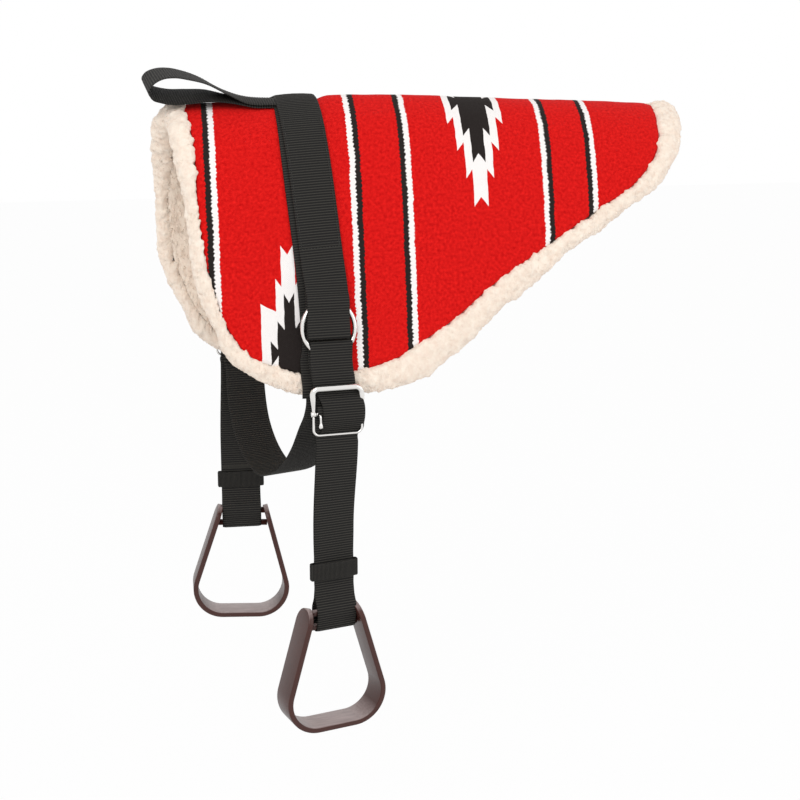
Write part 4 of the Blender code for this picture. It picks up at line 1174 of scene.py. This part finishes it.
def topPlyPlace(side, s):
    # the top ply's middle line, eased sideways so that it meets the ring's chape squarely
    sign, hinge = -side.sign, side.hinge
    arrival = padSurface(plies["topCentre"] + plies["topLean"] * sign * hinge, sign * hinge)[0]
    return (plies["topCentre"] + plies["topLean"] * sign * s
            + (side.x - arrival) * smoothShare(s, plies["easeFrom"], hinge))


def surcingleRows(side):
    # from the ridge down the flap, round the ring and back up behind itself
    rows = []
    for s in np.linspace(0, side.hinge - 0.020, 14):
        hump = plies["handleHump"] * (1 - 0.55 * np.abs(edges3 / edges3[2]) ** 2)
        lift = plies["topLift"] + hump * (1 - smoothShare(s, 0.004, 0.045))
        lift = lift + chape["endRise"] * smoothShare(s, side.hinge - 0.045, side.hinge - 0.02)
        rows.append(padPoint(topPlyPlace(side, s) + edges3, -side.sign * s, lift))
    flat = chape["frontFlat"]
    behind = plies["topLift"] + chape["hingeRise"] - side.ringLift
    wire = ringRadius + ring["wire"] / 2
    front = [(behind + step, -chape["length"]), (0, -chape["length"] + (chape["length"] - wire) * 0.42),
             (ringPly * 0.8, -wire - thick / 2), (ringPly, -ringRadius), (ringPly, -ringRadius / 2),
             (flat * 3 + gap, chape["foldDrop"])]
    back = [(flat, chape["foldDrop"]), (-ringPly, -ringRadius / 2), (-ringPly, -ringRadius),
            (behind, -chape["length"])]
    fold = foldArc((flat * 2 + gap / 2, chape["frontFold"]), flat + gap / 2, 0, math.pi)
    for out, down in front + fold + back:
        drift = chape["drift"] * smoothShare(down, -ringRadius, chape["foldDrop"] * 2)
        rows.append(straightRow(side, *onFlap(side, down, out), shift=-drift))
    return rows


def ringFold(side):
    # the leather's way up in front of the ring, through it behind the surcingle's fold, and down behind
    flat, below = chape["rearFlat"], ringRadius + ring["wire"]
    crossing, turning = chape["rearCross"]
    fold = foldArc((-flat * 2 - gap / 2, chape["rearFold"]), flat + gap / 2, 0, -math.pi)
    path = [(ringPly, below), (ringPly, ringRadius * 0.8), (ringPly, crossing), (-flat, turning), *fold,
            (-flat * 3 - gap, turning), (-ringPly, ringRadius * 0.8), (-ringPly, below)]
    return [onFlap(side, down, out) for out, down in path]


def barLoop(bar):
    # down round the lower bar and up again, outside the upper one: a half loop open at the top
    ply, half = step / 2, stirrup["barDiameter"] / 2
    barPly = half + gap + thick / 2
    eyePly = barPly + stirrup["barSpacing"] * math.sin(math.radians(10))
    upper, rise = bar + stirrup["barSpacing"], stirrup["eyeAbove"]
    eye = [(ply, upper + rise), (ply * 1.8, upper + rise * 0.8), (eyePly, upper + half),
           (eyePly, upper - half), (barPly + (eyePly - barPly) * 0.3, bar + half)]
    return [(-o, z) for o, z in eye] + foldArc((0, bar), barPly, -math.pi, math.pi) + eye[::-1]


def leatherRows(side):
    # the whole strap: pin fold, up round the ring, down behind, round the bars and up to the billet's end
    pin, out = side.pinZ, side.outset
    front, back, bulge = out + depth["front"], out + depth["back"], out + depth["bulge"]
    wrapOut, billet = out + depth["pin"], out + depth["billet"]
    rise, heel = buckle["rise"], buckle["heel"]
    rows = [straightRow(side, o, z) for o, z in [(wrapOut + wrap, pin + buckle["foldRise"])]
            + foldArc((wrapOut, pin), wrap, 0, -math.pi)]
    path = [(front, pin + rise * 0.5), (front, pin + rise * 1.2), *ringFold(side), (back, pin + rise * 1.2),
            (back, pin)]
    for o, z in path:
        drift = chape["drift"] * (1 - smoothShare(side.ringZ - z, 0.010, ringRadius * 1.3))
        rows.append(straightRow(side, o, z, shift=drift))
    turnTop = pin - heel * 1.45
    shares = [(turnTop + (side.cut - turnTop) * t, float(smoothShare(t, 0, 1))) for t in np.linspace(0, 1, 9)]
    rows += [straightRow(side, back, z, share) for z, share in shares]
    rows += [straightRow(side, side.middle + o, z, 1.0) for o, z in barLoop(side.barZ)]
    rows += [straightRow(side, front, z, share) for z, share in reversed(shares)]
    # the folded-down end lies a little to one side, over the frame's rear bar
    path = [(front, pin - heel * 1.06, 0), (front, pin - heel * 0.93, 0.8),
            (front + 0.0004, pin - heel * 0.84, 1), ((front + bulge) / 2, pin - heel * 0.53, 1),
            (bulge - thick / 2, pin - heel * 0.26, 1),
            (bulge, pin, 1), (bulge, pin + buckle["foldRise"], 0.95),
            (bulge - 0.0006, pin + rise * 0.5, 0.75),
            (billet + thick / 2, pin + rise * 0.74, 0.35), (billet, pin + rise + buckle["wire"] / 2, 0)]
    return rows + [straightRow(side, o, z, shift=share * buckle["plyShift"]) for o, z, share in path]


def keeperRows(side):
    # a band round both plies, its own ribs upright, sewn shut at the back
    corner, inwards = keeper["corner"], -side.sign
    halfX = webbing["width"] / 2 + keeper["ease"] + keeper["wall"] / 2
    halfY = step / 2 + thick / 2 + keeper["clearance"] + keeper["wall"] / 2
    outline = [(0, halfY * inwards)]
    for cx, cy, start in ((1, 1, 0.5), (1, -1, 0), (-1, -1, -0.5), (-1, 1, -1)):
        centre = (cx * (halfX - corner), cy * (halfY - corner))
        arc = foldArc(centre, corner, math.pi * start, -math.pi / 2, 4)
        outline += [(x, y * inwards) for x, y in arc]
    outline.append((-keeper["lap"], halfY * inwards))
    tall = np.array([0.5, 0, -0.5]) * keeper["height"] - keeper["below"] - side.slip
    return [[turned(side, at(side, side.middle, side.keeperTop + z) + (x, y, 0)) for z in tall]
            for x, y in outline]


def bentU(side, half, top, end, depthTop):
    # a wire's U in the side's own plane: up one arm, across and down the other
    corner, direction = buckle["corner"], 1 if top > end else -1
    arc = [(half - corner + corner * math.cos(t), top - direction * corner * (1 - math.sin(t)))
           for t in np.linspace(0, math.pi / 2, 10)]
    arm = [(half, end + (arc[0][1] - end) * k / 6) for k in range(6)]
    bar = [(x, top) for x in np.linspace(half - corner, 0, 6)[1:]]
    whole = arm + arc + bar
    points, shares = [], []
    for x, z in whole + [(-x, z) for x, z in reversed(whole[:-1])]:
        share = (z - end) / (top - end)
        out = side.outset + depth["pin"] + (depthTop - depth["pin"]) * share
        points.append(at(side, out, z + side.pinZ) + (x, 0, 0))
        shares.append(share)
    return np.array(points), np.array(shares)


def tonguePath(side):
    # out from the pin, over the folded ply and down it
    radius, bulb, length = buckle["tongueWire"] / 2, buckle["tongueBulb"] / 2, buckle["tongueLength"]
    start = depth["pin"] + buckle["pin"] / 2 + gap
    face = depth["bulge"] + thick / 2 + gap + radius
    path = [(start, 0), ((start + face) / 2, 0.0002), (face - 0.0002, -radius * 0.6),
            (face + radius * 0.7, -0.004), (face + radius, -length / 2), (face + radius, -length + bulb),
            (face + radius, -length)]
    rows = smoothRows([[at(side, side.outset + o, side.pinZ + z) + (buckle["tongueOffset"], 0, 0)]
                       for o, z in path], 0.0005)[:, 0]
    share = np.linspace(0, 1, len(rows))
    swell = radius * 0.9 + (bulb - radius * 0.9) * smoothShare(share, 0.62, 0.84)
    return rows, swell * np.sqrt(np.clip(1 - smoothShare(share, 0.84, 1.0) ** 2, 0.02, 1))


def makeBuckle(side):
    name, body, pinRadius = side.name, side.name + "_leather_body", buckle["pin"] / 2
    half = webbing["width"] / 2 + buckle["sideClearance"] + buckle["wire"] / 2
    points, shares = bentU(side, half, buckle["rise"], -pinRadius, depth["frame"])
    # the cast frame is stout round the top and draws in towards its knuckles
    least, more = buckle["stoutness"]
    radii = buckle["wire"] / 2 * (least + more * smoothShare(shares, 0.10, 0.75))
    frameBar = tube(name + "BuckleFrame", points, radii, 24)
    points, _ = bentU(side, half, -buckle["heel"], -pinRadius - gap, depth["heel"])
    heelLoop = tube(name + "BuckleHeel", points, buckle["heelWire"] / 2, 16)
    pinMiddle = at(side, side.outset + depth["pin"], side.pinZ)

    def turnedBar(title, stations, sides):
        xs, radii = np.array(stations).T
        return tube(name + title, [pinMiddle + (x, 0, 0) for x in xs], radii, sides)

    reach = half - buckle["wire"] / 2 - gap
    ease, inner, small = buckle["pinEase"]
    pinHalf = [(inner, pinRadius), (reach - ease, pinRadius), (reach, pinRadius * small)]
    pinBar = turnedBar("BucklePin", [(-x, r) for x, r in pinHalf[::-1]] + pinHalf, 16)
    knuckles = [turnedBar(title, [(x + end * half, r) for x, r in buckle["knuckle"]], 18)
                for title, end in (("KnuckleA", -1), ("KnuckleB", 1))]
    tongue = tube(name + "BuckleTongue", *tonguePath(side), 16)
    carried(frameBar, body, "bright_metal", name + "_buckle_frame")
    carried(heelLoop, body, "bright_metal", name + "_buckle_heel")
    carried(pinBar, body, "bright_metal", name + "_buckle_pin")
    for piece in knuckles:
        carried(piece, body, "bright_metal")
    carried(tongue, name + "_tongue", "bright_metal", name + "_buckle_tongue")


def stirrupPath():
    # centre line of the band: down one side, round the corners and up the other
    halfBand = stirrup["band"] / 2
    top = np.array([stirrup["topHalf"] - halfBand, stirrup["barBelowTop"]])
    radius = stirrup["corner"] - halfBand
    bottom = stirrup["barBelowTop"] - stirrup["height"] + halfBand
    centre = np.array([stirrup["half"] - halfBand - radius, bottom + radius])
    toCentre = centre - top
    lean = math.asin(radius / np.linalg.norm(toCentre)) + math.atan2(toCentre[0], -toCentre[1])
    tangent = centre + radius * np.array([math.cos(lean), math.sin(lean)])
    points = [top + (tangent - top) * t for t in np.linspace(0, 1, 60)]
    points += [centre + radius * np.array([math.cos(t), math.sin(t)])
               for t in np.linspace(lean, -math.pi / 2, 40)[1:]]
    points += [np.array([x, bottom]) for x in np.linspace(centre[0], 0, 12)[1:]]
    half = np.array(points)
    return np.concatenate([half, half[-2::-1] * (-1, 1)])


def hung(side, points):
    # a stirrup never hangs quite square: it slides along its bar and rolls a little
    roll = math.radians(side.footRoll)
    x, y, z = np.moveaxis(np.asarray(points, float), -1, 0)
    return np.stack([x * math.cos(roll) + z * math.sin(roll) + side.footShift, y,
                     z * math.cos(roll) - x * math.sin(roll)], -1)


def makeStirrup(side):
    path = stirrupPath()
    tangents = np.gradient(path, axis=0)
    tangents /= np.linalg.norm(tangents, axis=1, keepdims=True)
    run = runAlong(path)
    fromEnd = np.minimum(run, run[-1] - run)
    halfDepth = stirrup["depth"] / 2
    # each lug is rounded off like a coin's edge
    rounded = np.sqrt(np.clip(1 - (1 - np.clip(fromEnd / halfDepth, 0, 1)) ** 2, 0.02, 1)) * halfDepth
    edge, halfBand = stirrup["edge"], stirrup["band"] / 2
    corner = [(math.cos(t), math.sin(t)) for t in np.linspace(0, math.pi / 2, 5)]
    rows = []
    for (x, z), (tx, tz), d in zip(path, tangents, rounded):
        loop = []
        for sy, sn in ((1, 1), (-1, 1), (-1, -1), (1, -1)):
            for cy, cn in corner if sy * sn > 0 else corner[::-1]:
                across = max(d - edge, stirrup["leastHalf"]) + edge * min(1, d / stirrup["edgeFade"]) * cy
                loop.append((sy * across,
                             sn * (halfBand - edge + edge * cn)))
        rows.append([(x - tz * n, y, z + tx * n) for y, n in loop])
    place = turned(side, at(side, side.middle, side.barZ))
    points = spun(hung(side, rows), side.turn) + place
    return meshObject(side.name + "StirrupBody", points, loftFaces(*points.shape[:2]), brownPlastic)


def makeBars(side):
    middle = at(side, side.middle, side.barZ)
    for title, key, rise in (("LowerBar", "_lower_bar", 0),
                             ("UpperBar", "_upper_bar", stirrup["barSpacing"])):
        reach = stirrup["topHalf"] - stirrup["band"] * 0.6
        reach += (stirrup["barBelowTop"] - rise) * stirrup["barLean"]
        ends = [turned(side, middle + hung(side, (x, 0, rise))) for x in np.linspace(-reach, reach, 5)]
        bar = tube(side.name + title, ends, stirrup["barDiameter"] / 2, material=brownPlastic)
        carried(bar, side.name + "_stirrup_body", "brown_plastic", side.name + key)


def edgeStitches(side):
    # a row of stitches inside each edge of the top ply, and two short rows across above the hinge
    lift = plies["topLift"] + thick / 2 + seam["proud"]

    def line(stations, offsets):
        return [padPoint(topPlyPlace(side, s) + e, -side.sign * s, lift) for s in stations for e in offsets]

    lines = [line(np.linspace(seam["start"], side.hinge - seam["start"], 60), [edge])
             for edge in (-seam["edge"], seam["edge"])]
    across = np.linspace(-seam["across"], seam["across"], 14)
    return lines + [line([side.hinge - above], across) for above in seam["rows"]]


def makeSide(name):
    side = sideFrame(name)
    hinge, cut = at(side, *onFlap(side, -chape["length"], 0)), at(side, side.outset, side.cut)
    bent(webbingStrip(name + "Surcingle", surcingleRows(side)),
         [name + "_ring_chape", "surcingle_top_ply"])
    carried(sewn(name + "Stitches", edgeStitches(side)), "pad", "black_webbing")
    bent(webbingStrip(name + "Leather", leatherRows(side)),
         [name + "_leather", name + "_billet", name + "_stirrup_strap"])
    band = webbingStrip(name + "Keeper", keeperRows(side), keeper["wall"], keeper["ribPitch"])
    carried(band, name + "_keeper_body", "black_webbing", name + "_keeper")
    centre = at(side, *onFlap(side, 0, 0))
    down = at(side, *onFlap(side, 1, 0)) - centre
    angles = np.arange(120)[:, None] / 120 * 2 * math.pi
    circle = centre + ringRadius * (np.cos(angles) * (1, 0, 0) + np.sin(angles) * down)
    hoop = tube(name + "RingHoop", circle, ring["wire"] / 2, closed=True)
    carried(hoop, name + "_ring_body", "bright_metal", name + "_ring")
    makeBuckle(side)
    carried(makeStirrup(side), name + "_stirrup_body", "brown_plastic", name + "_stirrup")
    makeBars(side)
    print(name, "side made")


makeSide("left")
makeSide("right")


# Floor, light and background

studio = {
    "floorHeight": -1.0,
    "floorSize": 12.0,
    "shadowShare": 0.06,  # the rest of the floor is plain white to the eye
    "sky": 0.72,
    "lamps": {  # place, what it points at, size and power
        "keyLight": ((-1.4, -2.2, 1.6), (0, 0, -0.25), 1.6, 34.0),
        "fillLight": ((2.0, -1.6, 0.6), (0, 0, -0.3), 1.8, 10.0),
    },
}


def makeFloor():
    # plain paper: white to the eye and in reflections, with a trace of the object's shadow
    size = studio["floorSize"]
    made, tree, shader = newMaterial("palePaperFloor")
    feed(tree, shader, {"Base Color": linear("#FAFAFA"), "Roughness": 0.9})
    rays = addNode(tree, "ShaderNodeLightPath").outputs
    seen = maths(tree, "MAXIMUM", rays["Is Camera Ray"], rays["Is Glossy Ray"])
    glow = addNode(tree, "ShaderNodeEmission", None, {"Color": linear("#FFFFFF"), "Strength": 1.0})
    mix = addNode(tree, "ShaderNodeMixShader", None,
                  {0: times(tree, seen, 1 - studio["shadowShare"]), 1: shader.outputs[0], 2: glow.outputs[0]})
    feed(tree, tree.nodes["Material Output"], {0: mix.outputs[0]})
    floor = meshObject("floor", [(-size, -size, 0), (size, -size, 0), (size, size, 0), (-size, size, 0)],
                       [(0, 1, 2, 3)], made)
    floor.location.z = studio["floorHeight"]


def makeSky():
    world = bpy.data.worlds.new("studio")
    scene.world = world
    world.use_nodes = True
    tree = world.node_tree
    rays = addNode(tree, "ShaderNodeLightPath").outputs
    seen = maths(tree, "MAXIMUM", rays["Is Camera Ray"],
                 maths(tree, "MAXIMUM", rays["Is Glossy Ray"], rays["Is Transmission Ray"]))
    strength = scaled(tree, seen, 1 - studio["sky"], studio["sky"])
    feed(tree, tree.nodes["Background"], {"Color": (1, 1, 1, 1), "Strength": strength})


def softLamp(name, place, target, size, power):
    lamp = bpy.data.lights.new(name, "AREA")
    lamp.size = size
    lamp.energy = power
    made = placed(name, lamp)
    made.location = place
    made.rotation_euler = (Vector(target) - Vector(place)).to_track_quat("-Z", "Y").to_euler()


makeFloor()
makeSky()
for lampName, facts in studio["lamps"].items():
    softLamp(lampName, *facts)
print("studio made")
